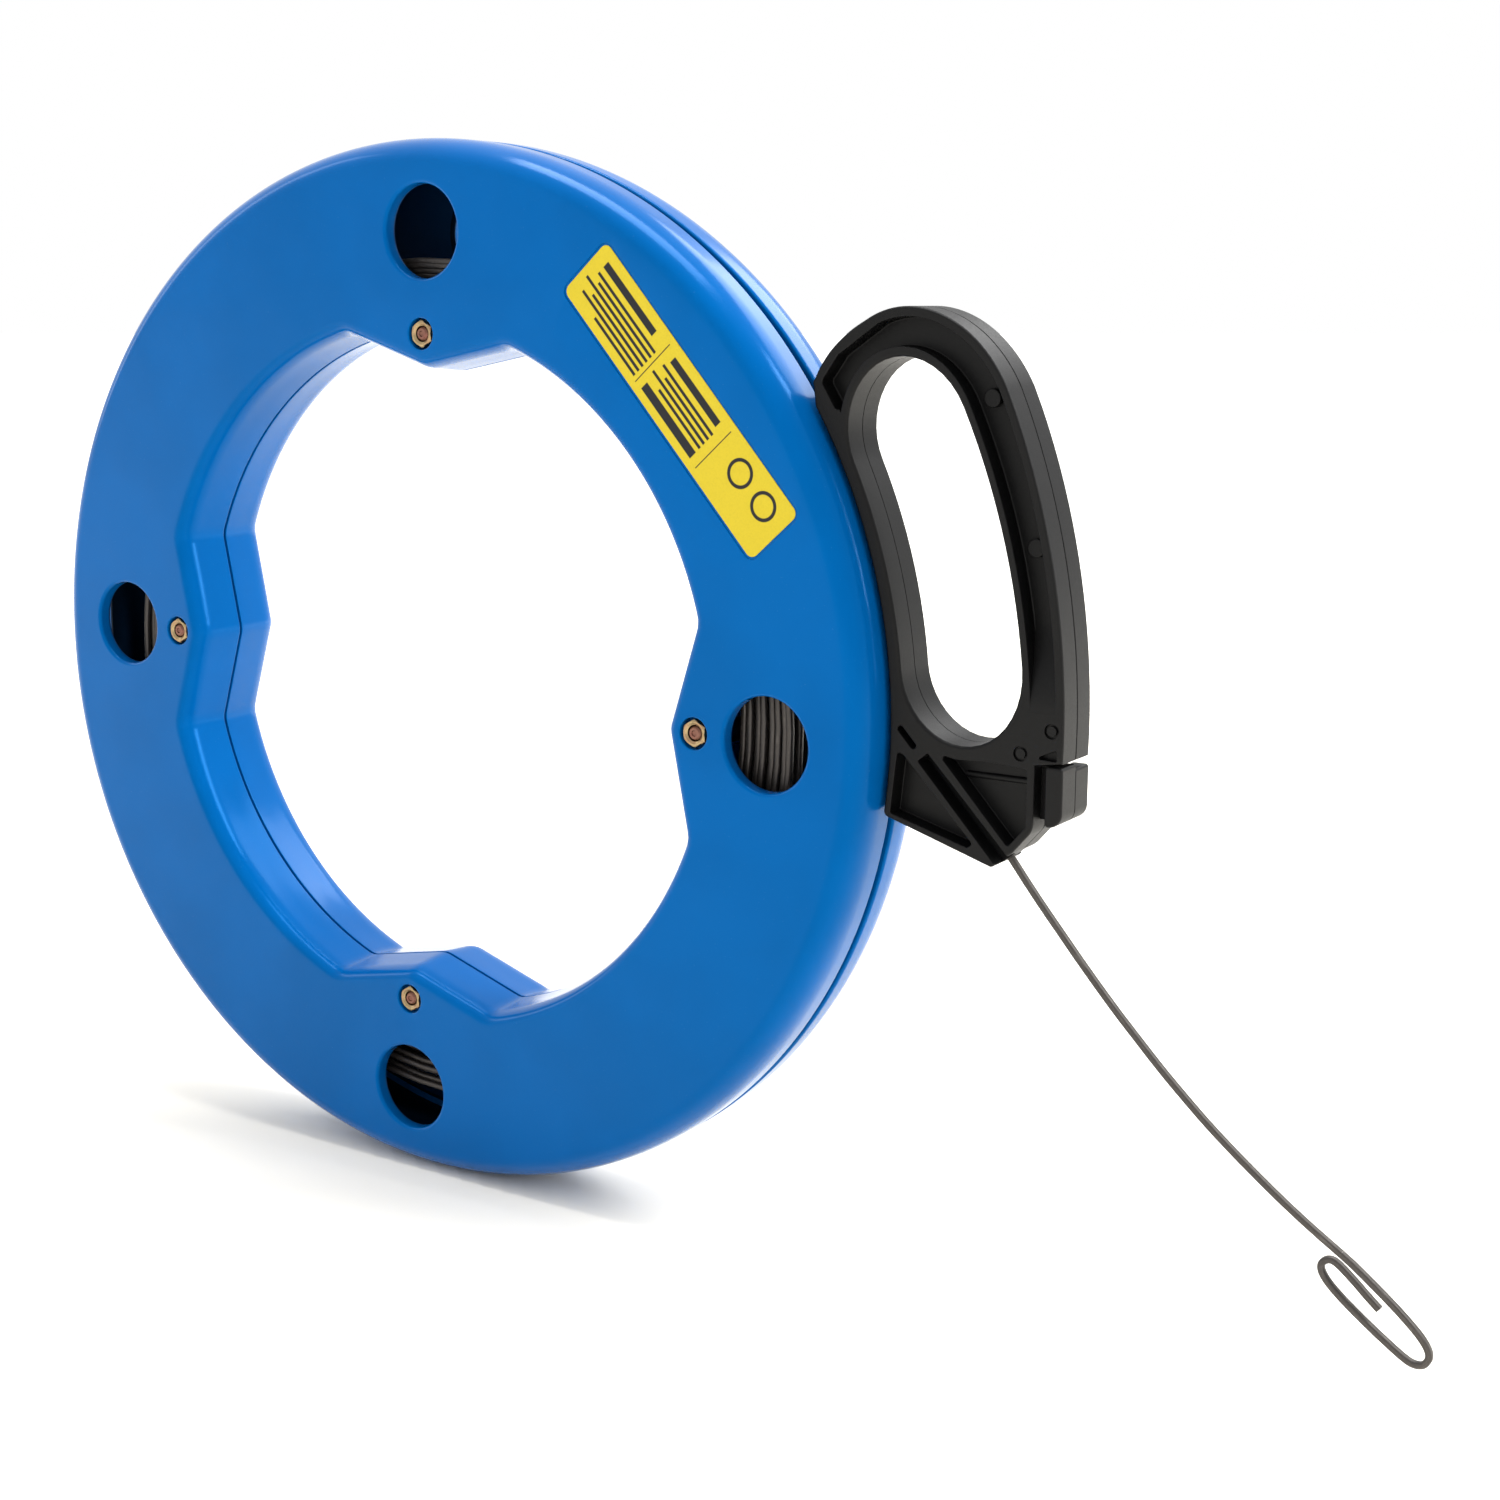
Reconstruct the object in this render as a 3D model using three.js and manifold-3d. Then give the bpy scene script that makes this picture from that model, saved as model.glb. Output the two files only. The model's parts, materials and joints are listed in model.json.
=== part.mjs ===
// Fish tape reel: a two-shell ring case that turns on a hand grip, with a coil of spring-steel tape
// inside it that runs out through the nose of the grip and ends in a bent eye.
// Millimetres, +Z up. The case axis is Y, and the shells part at the plane y = 0.
// Everything is laid out about the centre of the case, and the whole reel is then moved so that
// its origin is the middle of the hand grip.

import * as THREE from "three";
import { mergeVertices } from "three/addons/utils/BufferGeometryUtils.js";
import Module from "manifold-3d";

const wasm = await Module();
wasm.setup();

// ---------------------------------------------------------------- driving dimensions

// Case
const caseRadius = 155;
const caseThickness = 34.4;
const shellWall = 2.4;
const rimRoundRadial = 7.2;
const rimRoundAxial = 10.8;
const rimSlot = 3.2; // open slot between the two shells round the rim
const boreRadius = 101.7;
const boreRoundRadial = 4.6;
const boreRoundAxial = 7.6;
const boreSeam = 0.8; // shadow gap between the shells at the bore
const postSeam = 0.3; // gap between the two shells' posts

// Finger bumps of the bore, one over each bolt
const bumpCount = 4;
const bumpTurn = -3.5; // degrees, place of the first bump
const bumpHeight = 12.4;
const bumpHalfAngle = 17.3; // degrees
const bumpTipRadius = 7;
const bumpRootRadius = 5;

// Case bolts and nuts
const boltSetback = 1.3; // of the bolts' circle, inside the bore's radius
const boltCircle = boreRadius - boltSetback;
const boltRadius = 2;
const boltHoleRadius = 2.3;
const boltHeadRadius = 3.8;
const boltHeadHeight = 2.5;
const boltEndBelowFace = 0.5;
const headRecessRadius = 4.7;
const headRecessDepth = 2.9;
const nutAcrossFlats = 7;
const nutHeight = 3;
const nutBoreRadius = 2.3;
const nutRecessRadius = 4.5;
const nutRecessDepth = 3.3;
const postRadius = 6.2;

// Round windows over the coil
const windowRadius = 13.2;
const windowCollarWall = 1.8;
const windowCollarDepth = 4.1;
const windowEdgeRound = 1;
const windowSetbacks = [31.4, 26]; // of the side windows, then the upper and lower ones, inside the rim
const windowTurn = -3.2; // degrees, place of the first window

// Label
const labelLength = 92.6;
const labelWidth = 19.4;
const labelThickness = 0.2;
const labelCorner = 2.2;
const labelSetback = 27.8; // of the label's middle, inside the rim
const labelAngle = 41.1; // degrees
const labelMargin = 0.7;
const labelRecessDepth = 0.4;

// Tape
const tapeWidth = 2; // along the case axis
const tapeThickness = 1.8;
const coilClearance = 0.3;
const coilSetback = 31; // of the wound tape, inside the rim
const coilWidth = 13;
const tapeJoint = 0.3; // gap between two solids of the one tape

// Hand grip, in two halves; "along" is measured round the rim, "rise" outwards from it
const gripThickness = 16;
const gripSeam = 0.3; // gap between the halves
const gripLift = 1.4; // running clearance between the rim and the grip
const gripWall = 2.2;
const gripFloor = 2.6; // depth of the pockets' floor from the middle plane
const gripOpenStart = -2.4;
const gripOpenEnd = 85.9;
const gripOpenInner = 5;
const gripOpenOuter = 39.8;
const gripBand = 12.4; // width of the hand grip beyond the opening
const archAlong = 67;
const archRise = 24.4;
const archRadius = 28.6;

// Foot of the grip, which rides behind the lips of the rim slot
const footClearance = 0.6;
const footHeight = 2.6;
const footHalfWidth = 5;
const neckClearance = 0.4;
const footSpans = [
  [-19, -3],
  [21, 80],
];

// Parking block beside the nose, which holds the eye when the tape is wound in
const parkSlot = 3;
const parkWidth = 4.8;
const parkHeight = 15.6;
const parkGapFront = 1;
const parkGapRear = 2.2;
const parkCorner = 3.8;
const parkWebHalf = 3.5;

// Screws of the grip, as [along, rise, stands in a pocket]
const gripScrews = [
  [-2.2, 39.4, false],
  [2.9, 47.9, false],
  [38, 46.5, true],
  [68, 46.5, true],
];
const screwRadius = 1.45;
const screwHoleRadius = 1.75;
const screwHeadRadius = 2.6;
const screwHeadHeight = 1.8;
const screwHeadBase = 4.4; // from the middle plane
const screwRecessRadius = 2.9;
const screwReach = 5.6; // past the middle plane where the grip is solid
const screwShortReach = 3.4; // past the middle plane where it is a pocket
const bossRadius = 3.3;
const bossTipRadius = 2.4;
const bossTipDepth = 4.4;
const ringGrooveInner = 1.3;
const ringGrooveOuter = 2;
const ringGrooveDepth = 0.8;

// Tape channel through the grip
const nosePoint = [33.6, -32.2]; // exit of the tape: out from the rim, and height
const channelClearance = 0.4;

// Fineness of the curved faces
const rimSteps = 64;
const holeSteps = 16;
const windowSteps = 20;
const outerRoundSteps = 3;
const innerRoundSteps = 1;

// ---------------------------------------------------------------- helpers

const rad = THREE.MathUtils.degToRad;
const halfCase = caseThickness / 2;
const coilRadius = caseRadius - coilSetback;

function solid(geometry) {
  const bare = geometry.clone();
  bare.deleteAttribute("normal");
  bare.deleteAttribute("uv");
  const merged = mergeVertices(bare, 1e-4);
  return new wasm.Manifold(
    new wasm.Mesh({
      numProp: 3,
      vertProperties: new Float32Array(merged.attributes.position.array),
      triVerts: new Uint32Array(merged.index.array),
    }),
  );
}

function geometryOf(manifold) {
  const mesh = manifold.getMesh();
  const geometry = new THREE.BufferGeometry();
  geometry.setAttribute("position", new THREE.BufferAttribute(mesh.vertProperties, 3));
  geometry.setIndex(new THREE.BufferAttribute(mesh.triVerts, 1));
  geometry.computeVertexNormals();
  return geometry;
}

const vectors = (points) => points.map(([x, z]) => new THREE.Vector2(x, z));

// A flat outline in the plane of the case, given as [x, z] points, made solid from yMin to yMax.
// round = [size, depth, steps] draws in the edges of both faces along a quarter ellipse.
function slab(outline, yMin, yMax, holes = [], round = null) {
  const shape = new THREE.Shape(vectors(outline));
  shape.holes = holes.map((hole) => new THREE.Path(vectors(hole)));
  const [size, depth, steps] = round ?? [0, 0, 1];
  const geometry = new THREE.ExtrudeGeometry(shape, {
    depth: yMax - yMin - 2 * depth,
    curveSegments: 1,
    bevelEnabled: round !== null,
    bevelSize: size,
    bevelOffset: -size,
    bevelThickness: depth,
    bevelSegments: steps,
  });
  geometry.translate(0, 0, depth);
  geometry.rotateX(Math.PI / 2);
  geometry.translate(0, yMax, 0);
  return solid(geometry);
}

// A solid of revolution about the line along Y through (x, z); the profile is [radius, y] points.
function turned(profile, x = 0, z = 0, steps = holeSteps) {
  const closed = profile[0][0] > 0 ? [...profile, profile[0]] : profile;
  const geometry = new THREE.LatheGeometry(vectors(closed), steps);
  geometry.translate(x, 0, z);
  return solid(geometry);
}

function cylinder(radius, yMin, yMax, x, z, steps = holeSteps) {
  const geometry = new THREE.CylinderGeometry(radius, radius, yMax - yMin, steps);
  geometry.translate(x, (yMin + yMax) / 2, z);
  return solid(geometry);
}

function block(xMin, xMax, yMin, yMax, zMin, zMax) {
  const geometry = new THREE.BoxGeometry(xMax - xMin, yMax - yMin, zMax - zMin);
  geometry.translate((xMin + xMax) / 2, (yMin + yMax) / 2, (zMin + zMax) / 2);
  return solid(geometry);
}

const polar = (radius, degrees) => [radius * Math.cos(rad(degrees)), radius * Math.sin(rad(degrees))];

function circle(radius, steps) {
  return Array.from({ length: steps }, (_, i) => polar(radius, (360 * i) / steps));
}

// Points on the arc of a circle from one angle to another, in degrees.
function arc(cx, cy, radius, from, to, steps) {
  return Array.from({ length: steps + 1 }, (_, i) => {
    const angle = rad(from + ((to - from) * i) / steps);
    return [cx + radius * Math.cos(angle), cy + radius * Math.sin(angle)];
  });
}

// The same outline with each corner named in radii rounded off by an arc of that radius.
function rounded(outline, radii, steps) {
  const points = [];
  const count = outline.length;
  for (let i = 0; i < count; i += 1) {
    const radius = Array.isArray(radii) ? radii[i] : radii;
    const corner = new THREE.Vector2(...outline[i]);
    const before = new THREE.Vector2(...outline[(i + count - 1) % count]).sub(corner).normalize();
    const after = new THREE.Vector2(...outline[(i + 1) % count]).sub(corner).normalize();
    const half = Math.acos(THREE.MathUtils.clamp(before.dot(after), -1, 1)) / 2;
    if (!radius || half > rad(85)) {
      points.push([corner.x, corner.y]);
      continue;
    }
    const centre = before
      .clone()
      .add(after)
      .normalize()
      .multiplyScalar(radius / Math.sin(half))
      .add(corner);
    const reach = radius / Math.tan(half);
    const start = before.clone().multiplyScalar(reach).add(corner).sub(centre);
    const end = after.clone().multiplyScalar(reach).add(corner).sub(centre);
    const from = start.angle();
    let sweep = end.angle() - from;
    sweep -= 2 * Math.PI * Math.round(sweep / (2 * Math.PI));
    for (let k = 0; k <= steps; k += 1) {
      const angle = from + (sweep * k) / steps;
      points.push([centre.x + radius * Math.cos(angle), centre.y + radius * Math.sin(angle)]);
    }
  }
  return points;
}

// ---------------------------------------------------------------- case

// Outline of the bore, with its V-shaped bumps; grow widens the bore on all sides.
function boreOutline(grow) {
  const radius = boreRadius + grow;
  const pitch = 360 / bumpCount;
  const arcSteps = 8;
  const corners = [];
  const radii = [];
  for (let i = 0; i < bumpCount; i += 1) {
    const middle = bumpTurn + i * pitch;
    corners.push(polar(radius - bumpHeight, middle));
    radii.push(bumpTipRadius - grow);
    const from = middle + bumpHalfAngle;
    const to = middle + pitch - bumpHalfAngle;
    for (let k = 0; k <= arcSteps; k += 1) {
      corners.push(polar(radius, from + ((to - from) * k) / arcSteps));
      radii.push(k === 0 || k === arcSteps ? bumpRootRadius + grow : 0);
    }
  }
  return rounded(corners, radii, 3);
}

// A ring with the bore's outline, both of its rims rounded off; inset draws all of its faces in.
function ringForm(inset, rimRound, boreRound) {
  const half = halfCase - inset;
  const disc = slab(circle(caseRadius - inset, rimSteps), -half, half, [], rimRound);
  const blank = circle(caseRadius + rimRoundRadial + boreRoundRadial, rimSteps);
  return disc.intersect(slab(blank, -half, half, [boreOutline(inset)], boreRound));
}

// The closed case, both shells together, and hollow.
function caseForm() {
  const outside = ringForm(
    0,
    [rimRoundRadial, rimRoundAxial, outerRoundSteps],
    [boreRoundRadial, boreRoundAxial, outerRoundSteps],
  );
  const hollow = ringForm(
    shellWall,
    [rimRoundRadial - shellWall / 2, rimRoundAxial - shellWall, innerRoundSteps],
    [boreRoundRadial - shellWall / 2, boreRoundAxial - shellWall, innerRoundSteps],
  );
  return outside.subtract(hollow);
}

const boltPlaces = Array.from({ length: bumpCount }, (_, i) => polar(boltCircle, bumpTurn + (360 / bumpCount) * i));
const windowPlaces = boltPlaces.map((_, i) =>
  polar(caseRadius - windowSetbacks[i % windowSetbacks.length], windowTurn + (360 / bumpCount) * i),
);

// A rounded rectangle that lies across the radius at the label's angle.
function labelOutline(margin) {
  const half = [labelWidth / 2 + margin, labelLength / 2 + margin];
  const corners = [
    [-half[0], -half[1]],
    [half[0], -half[1]],
    [half[0], half[1]],
    [-half[0], half[1]],
  ];
  const turn = rad(labelAngle);
  return rounded(corners, labelCorner + margin, 3).map(([radial, tangential]) => {
    const out = caseRadius - labelSetback + radial;
    return [
      out * Math.cos(turn) - tangential * Math.sin(turn),
      out * Math.sin(turn) + tangential * Math.cos(turn),
    ];
  });
}

// One shell. side is -1 for the front shell and +1 for the rear one.
function shell(side, form) {
  const face = side * halfCase;
  const between = (a, b) => [Math.min(a, b), Math.max(a, b)];
  const keep = between((side * boreSeam) / 2, side * caseThickness);
  const half = block(-2 * caseRadius, 2 * caseRadius, ...keep, -2 * caseRadius, 2 * caseRadius);
  let body = form.intersect(half);

  const inwards = face - side * shellWall * 0.5;
  for (const [x, z] of boltPlaces) {
    body = body.add(cylinder(postRadius, ...between(inwards, (side * postSeam) / 2), x, z));
  }
  const collarEnd = face - side * windowCollarDepth;
  for (const [x, z] of windowPlaces) {
    const collar = windowRadius + windowCollarWall;
    body = body.add(cylinder(collar, ...between(inwards, collarEnd), x, z, windowSteps));
  }

  const slotInner = caseRadius - 4 * shellWall;
  const slotOuter = caseRadius + shellWall;
  body = body.subtract(
    turned(
      [
        [slotInner, -rimSlot / 2],
        [slotOuter, -rimSlot / 2],
        [slotOuter, rimSlot / 2],
        [slotInner, rimSlot / 2],
      ],
      0,
      0,
      rimSteps,
    ),
  );
  const recessRadius = side < 0 ? nutRecessRadius : headRecessRadius;
  const recessDepth = side < 0 ? nutRecessDepth : headRecessDepth;
  for (const [x, z] of boltPlaces) {
    body = body.subtract(cylinder(boltHoleRadius, -caseThickness, caseThickness, x, z, 16));
    body = body.subtract(cylinder(recessRadius, ...between(face + side, face - side * recessDepth), x, z));
  }
  for (const [x, z] of windowPlaces) {
    const flare = windowRadius + windowEdgeRound;
    const profile = [
      [0, face + side],
      [flare, face + side],
      [flare, face],
      [windowRadius, face - side * windowEdgeRound],
      [windowRadius, collarEnd - side],
      [0, collarEnd - side],
    ];
    body = body.subtract(turned(side < 0 ? profile : profile.reverse(), x, z, windowSteps));
  }
  if (side < 0) {
    body = body.subtract(slab(labelOutline(labelMargin), face - 1, face + labelRecessDepth));
  }
  return body;
}

function label() {
  const seat = -halfCase + labelRecessDepth;
  return slab(labelOutline(0), seat - labelThickness, seat);
}

// A pan-head bolt whose head lies in the rear shell and whose end shows in the nut.
function caseBolt(x, z) {
  const seat = halfCase - headRecessDepth;
  const end = -halfCase + boltEndBelowFace;
  return turned(
    [
      [0, end],
      [boltRadius - 0.5, end],
      [boltRadius, end + 0.5],
      [boltRadius, seat],
      [boltHeadRadius, seat],
      [boltHeadRadius, seat + boltHeadHeight * 0.6],
      [boltHeadRadius * 0.7, seat + boltHeadHeight],
      [0, seat + boltHeadHeight],
    ],
    x,
    z,
    16,
  );
}

function caseNut(x, z) {
  const seat = -halfCase + nutRecessDepth;
  const corner = nutAcrossFlats / 2 / Math.cos(Math.PI / 6);
  const hexagon = circle(corner, 6).map(([a, b]) => [x + a, z + b]);
  const body = slab(hexagon, seat - nutHeight, seat);
  return body.subtract(cylinder(nutBoreRadius, seat - 2 * nutHeight, seat + 1, x, z, 16));
}

// ---------------------------------------------------------------- hand grip

// A point that lies "along" mm round the rim and "rise" mm outside it.
function onRim(along, rise) {
  return polar(caseRadius + rise, THREE.MathUtils.radToDeg(along / caseRadius));
}

const mapped = (points) => points.map(([along, rise]) => onRim(along, rise));

// Points on a smooth curve through a few [along, rise] points.
function curved(points, steps) {
  return new THREE.SplineCurve(vectors(points)).getPoints(steps).map((p) => [p.x, p.y]);
}

const openRadius = (gripOpenOuter - gripOpenInner) / 2;
const openRise = (gripOpenOuter + gripOpenInner) / 2;
const openLow = gripOpenStart + openRadius;
const openHigh = gripOpenEnd - openRadius;

// The slot for the fingers: straight sides that follow the rim, and two half-round ends.
function openingOutline(grow) {
  const radius = openRadius + grow;
  const sideSteps = 4;
  const side = (rise, from, to) =>
    Array.from({ length: sideSteps - 1 }, (_, i) => [from + ((to - from) * (i + 1)) / sideSteps, rise]);
  return mapped([
    ...arc(openLow, openRise, radius, 90, 270, 10),
    ...side(openRise - radius, openLow, openHigh),
    ...arc(openHigh, openRise, radius, -90, 90, 10),
    ...side(openRise + radius, openHigh, openLow),
  ]);
}

// The back of the hand grip: the outer edge from the gap over the parking block, over the arch and
// down to the pointed tip on the rim. inset draws it in by a wall.
function backEdge(inset, start) {
  const low = gripOpenOuter + gripBand - 1.2 - inset;
  const high = archRise + archRadius - inset;
  const points = curved(
    [
      [start, low],
      [start * 0.6 + archAlong * 0.4, (low * 2 + high) / 3],
      [archAlong, high],
    ],
    5,
  );
  points.push(...arc(archAlong, archRise, archRadius - inset, 84, 4, 8));
  return points;
}

const noseExit = [caseRadius + nosePoint[0], nosePoint[1]];

// The tape runs straight from the outermost turn of the coil, which it leaves along a tangent.
const tangentRadius = coilRadius - tapeThickness / 2;
const noseReach = Math.hypot(...noseExit);
const tapeSlope = Math.asin(tangentRadius / noseReach) - Math.atan2(noseExit[1], noseExit[0]);
const tapeAlong = [Math.cos(tapeSlope), -Math.sin(tapeSlope)];
const tapeAcross = [-tapeAlong[1], tapeAlong[0]];
const tapeLine = (distance, across = 0) => [
  noseExit[0] + tapeAlong[0] * distance + tapeAcross[0] * across,
  noseExit[1] + tapeAlong[1] * distance + tapeAcross[1] * across,
];

const gripEndAlong = -3.3;
const tip = [91.2, 4];
const heel = [-23.6, gripLift];
const noseLeft = [-27.6, 34.6];
const noseRight = [-23.1, 39.7];
const chinLow = [-17.5, 44.4];
const chinHigh = [-4.3, 43.4];

function gripOutline() {
  const rimSide = Array.from({ length: 13 }, (_, i) => [heel[0] + ((86 - heel[0]) * i) / 12, gripLift]);
  return mapped([
    ...backEdge(0, gripEndAlong),
    [95.6, 14.2],
    tip,
    ...rimSide.reverse(),
    noseLeft,
    noseRight,
    chinLow,
    chinHigh,
  ]);
}

// Long pocket that hollows the hand grip from its open face.
function gripPocket() {
  const start = 13;
  return mapped([
    ...backEdge(gripWall, start),
    [93.2, 14.6],
    [90.4, 6.4],
    [81.7, 6.4],
    ...arc(openHigh, openRise, openRadius + gripWall, -50, 90, 8),
    [start, gripOpenOuter + gripWall],
  ]);
}

// Half-round ridge along the floor of the pocket beside the parking block.
const ridgeRadius = 0.9;
const ridgeLength = 20;
const ridgeMiddle = [-8.9, 32.2];

// Pockets of the lower body, as [along, rise] corners and a corner radius.
const bodyPockets = [
  { corners: [[-6, 3.8], [-22.4, 3.4], [-25, 27], [-23.8, 28.4], [-6.7, 5.8]], radius: 0.5 },
  { corners: [[-7.5, 10], [-5.2, 12.8], [-25.4, 40.9], [-27.8, 37.4]], radius: 0 },
  { corners: [[-4.9, 16], [-22.1, 38.2], [-17.1, 42.4], [-5.2, 41.4], [-5, 30], [-5.6, 21]], radius: 0.5 },
  { corners: [[1.2, 4.6], [0, 3.4], [-5, 8.4], [-3.8, 9.6]], radius: 0.8 },
  { corners: [[-2.8, 43.4], [-0.6, 49.4], [-3, 49.4]], radius: 0.4, depth: 2 },
];

// Where the parking block stands, measured from the body's outer wall.
function parkFrame() {
  const wall = onRim(...chinHigh)[0];
  const top = onRim(gripEndAlong, gripOpenOuter + gripBand)[1];
  return { left: wall + parkSlot, right: wall + parkSlot + parkWidth, wall, top };
}

// Half of the grip. side is -1 for the front half and +1 for the rear half.
function gripHalf(side) {
  const face = (side * gripThickness) / 2;
  const seam = (side * gripSeam) / 2;
  const floor = side * gripFloor;
  const between = (a, b) => [Math.min(a, b), Math.max(a, b)];
  let body = slab(gripOutline(), ...between(face, seam), [openingOutline(0)]);

  const park = parkFrame();
  const parkTop = park.top - (side < 0 ? parkGapFront : parkGapRear);
  const parkLow = park.top - parkGapFront - parkHeight;
  const parkOutline = [
    [park.left, parkTop],
    [park.left, parkLow],
    [park.right, parkLow],
    [park.right, parkTop],
  ];
  body = body.add(slab(rounded(parkOutline, [0, 0, parkCorner, 0.6], 4), ...between(face, seam)));
  const web = between(side * parkWebHalf, seam);
  body = body.add(block(park.wall - 1, park.left + 1, ...web, parkLow + 1, parkTop));

  const pocketSpan = between(face + side, floor);
  body = body.subtract(slab(gripPocket(), ...pocketSpan));
  for (const { corners, radius, depth } of bodyPockets) {
    const span = depth ? between(face + side, face - side * depth) : pocketSpan;
    body = body.subtract(slab(rounded(mapped(corners), radius, 3), ...span));
  }
  const ridge = new THREE.CylinderGeometry(ridgeRadius, ridgeRadius, ridgeLength, 8);
  ridge.rotateZ(Math.PI / 2);
  const [ridgeX, ridgeZ] = onRim(...ridgeMiddle);
  ridge.translate(ridgeX, floor, ridgeZ);
  body = body.add(solid(ridge).subtract(block(0, 2 * caseRadius, ...between(-side * 9, floor - side), -99, 99)));

  for (const [from, to] of footSpans) {
    const outer = caseRadius - shellWall - footClearance;
    const sector = (low, high) => {
      const steps = Math.max(2, Math.round((to - from) / 8));
      const angles = Array.from({ length: steps + 1 }, (_, i) => (from + ((to - from) * i) / steps) / caseRadius);
      const at = (radius) => (angle) => [radius * Math.cos(angle), radius * Math.sin(angle)];
      return [...angles.map(at(high)), ...angles.slice().reverse().map(at(low))].reverse();
    };
    const neck = between(side * (rimSlot / 2 - neckClearance), seam);
    body = body.add(slab(sector(outer - 1, caseRadius + gripLift + 1), ...neck));
    body = body.add(slab(sector(outer - footHeight, outer), ...between(side * footHalfWidth, seam)));
  }

  for (const [along, rise, inPocket] of gripScrews) {
    const [x, z] = onRim(along, rise);
    if (side > 0) {
      if (inPocket) {
        body = body.add(cylinder(bossRadius, gripFloor - 0.5, screwHeadBase, x, z));
      } else {
        body = body.subtract(cylinder(screwRecessRadius, screwHeadBase, face + 1, x, z));
      }
      body = body.subtract(cylinder(screwHoleRadius, -1, face + 1, x, z, 12));
    } else {
      if (inPocket) {
        body = body.add(cylinder(bossTipRadius, -bossTipDepth, -gripFloor + 0.5, x, z));
      } else {
        const ring = [
          [ringGrooveInner, face - 1],
          [ringGrooveOuter, face - 1],
          [ringGrooveOuter, face + ringGrooveDepth],
          [ringGrooveInner, face + ringGrooveDepth],
        ];
        body = body.subtract(turned(ring, x, z, 16));
      }
      const reach = (inPocket ? screwShortReach : screwReach) + 0.3;
      body = body.subtract(cylinder(screwHoleRadius, -reach, 1, x, z, 12));
    }
  }

  const halfAcross = tapeThickness / 2 + channelClearance;
  const halfDeep = tapeWidth / 2 + 0.3;
  const reachIn = -2 * (caseRadius - coilRadius);
  const channel = [
    tapeLine(reachIn, -halfAcross),
    tapeLine(8, -halfAcross),
    tapeLine(8, halfAcross),
    tapeLine(reachIn, halfAcross),
  ];
  return body.subtract(slab(channel, -halfDeep, halfDeep));
}

function gripScrew(along, rise, inPocket) {
  const [x, z] = onRim(along, rise);
  const end = -(inPocket ? screwShortReach : screwReach);
  return turned(
    [
      [0, end],
      [screwRadius * 0.5, end],
      [screwRadius, end + 1],
      [screwRadius, screwHeadBase],
      [screwHeadRadius, screwHeadBase],
      [screwHeadRadius, screwHeadBase + screwHeadHeight * 0.5],
      [screwHeadRadius * 0.65, screwHeadBase + screwHeadHeight],
      [0, screwHeadBase + screwHeadHeight],
    ],
    x,
    z,
    12,
  );
}

// ---------------------------------------------------------------- tape

function tapeCoil() {
  const inner = boltCircle + postRadius + coilClearance;
  return turned(
    [
      [inner, -coilWidth / 2],
      [coilRadius, -coilWidth / 2],
      [coilRadius, coilWidth / 2],
      [inner, coilWidth / 2],
    ],
    0,
    0,
    rimSteps,
  );
}

// Flat tape with eased edges, carried along a curve.
function tapeAlongCurve(points, steps) {
  const ease = 0.5;
  const w = tapeWidth / 2;
  const t = tapeThickness / 2;
  const section = new THREE.Shape(
    vectors([
      [w, -t + ease],
      [w, t - ease],
      [w - ease, t],
      [-w + ease, t],
      [-w, t - ease],
      [-w, -t + ease],
      [-w + ease, -t],
      [w - ease, -t],
    ]),
  );
  const path = new THREE.CatmullRomCurve3(points.map(([x, y, z]) => new THREE.Vector3(x, y, z)));
  const geometry = new THREE.ExtrudeGeometry(section, { steps, bevelEnabled: false, extrudePath: path });
  return solid(geometry);
}

// Straight run from the coil, through the rim slot and the grip, to just inside the nose.
const leadStart = -4;

function tapeFeed() {
  const tangentPoint = -Math.sqrt(noseReach ** 2 - tangentRadius ** 2);
  const clear = coilRadius + coilClearance + tapeThickness / 2;
  const start = tangentPoint + Math.sqrt(clear ** 2 - tangentRadius ** 2);
  const end = leadStart - tapeJoint;
  const straight = [start, (start + end) / 2, end].map((distance) => tapeLine(distance));
  return tapeAlongCurve(
    straight.map(([x, z]) => [x, 0, z]),
    2,
  );
}

// The tape outside the nose, as steps out and down from its exit.
const leadRoute = [
  [0, 0],
  [4.9, -6.2],
  [9.9, -12.3],
  [15.1, -18.4],
  [20.4, -24.6],
  [25.8, -30.7],
  [31.4, -36.8],
  [37.2, -42.8],
  [43.2, -48.9],
  [49.4, -54.8],
  [55.8, -60.6],
  [62.4, -66.1],
  [69.3, -71.5],
  [76.4, -76.8],
  [83.9, -82],
  [92, -87.2],
];

// The bent eye, as steps from the end of the lead: out along one leg, round, back and into itself.
const eyeRoute = [
  [0.25, 0, -0.16],
  [2.7, 0, -1.8],
  [5.3, 0, -3.7],
  [10.5, 0, -7.7],
  [15.8, 0.1, -12.1],
  [20.3, 0.2, -16.4],
  [22.4, 0.3, -19.5],
  [22.6, 0.5, -21.8],
  [21.3, 0.6, -23.7],
  [19.1, 0.7, -24.1],
  [16.4, 0.8, -23.1],
  [10.8, 0.9, -19.5],
  [5.4, 1, -15.7],
  [0.3, 1.1, -11.8],
  [-3.2, 1.3, -8.7],
  [-5.1, 1.5, -6],
  [-5, 1.7, -4],
  [-3.3, 1.9, -3],
  [-1.2, 2, -3.7],
  [2.8, 2, -6.9],
  [6.1, 2, -9.9],
  [9.6, 2, -12.9],
];

function tapeLead() {
  const [startX, startZ] = tapeLine(leadStart);
  const points = leadRoute.map(([x, z]) => [noseExit[0] + x, 0, noseExit[1] + z]);
  return tapeAlongCurve([[startX, 0, startZ], ...points], 34);
}

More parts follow.
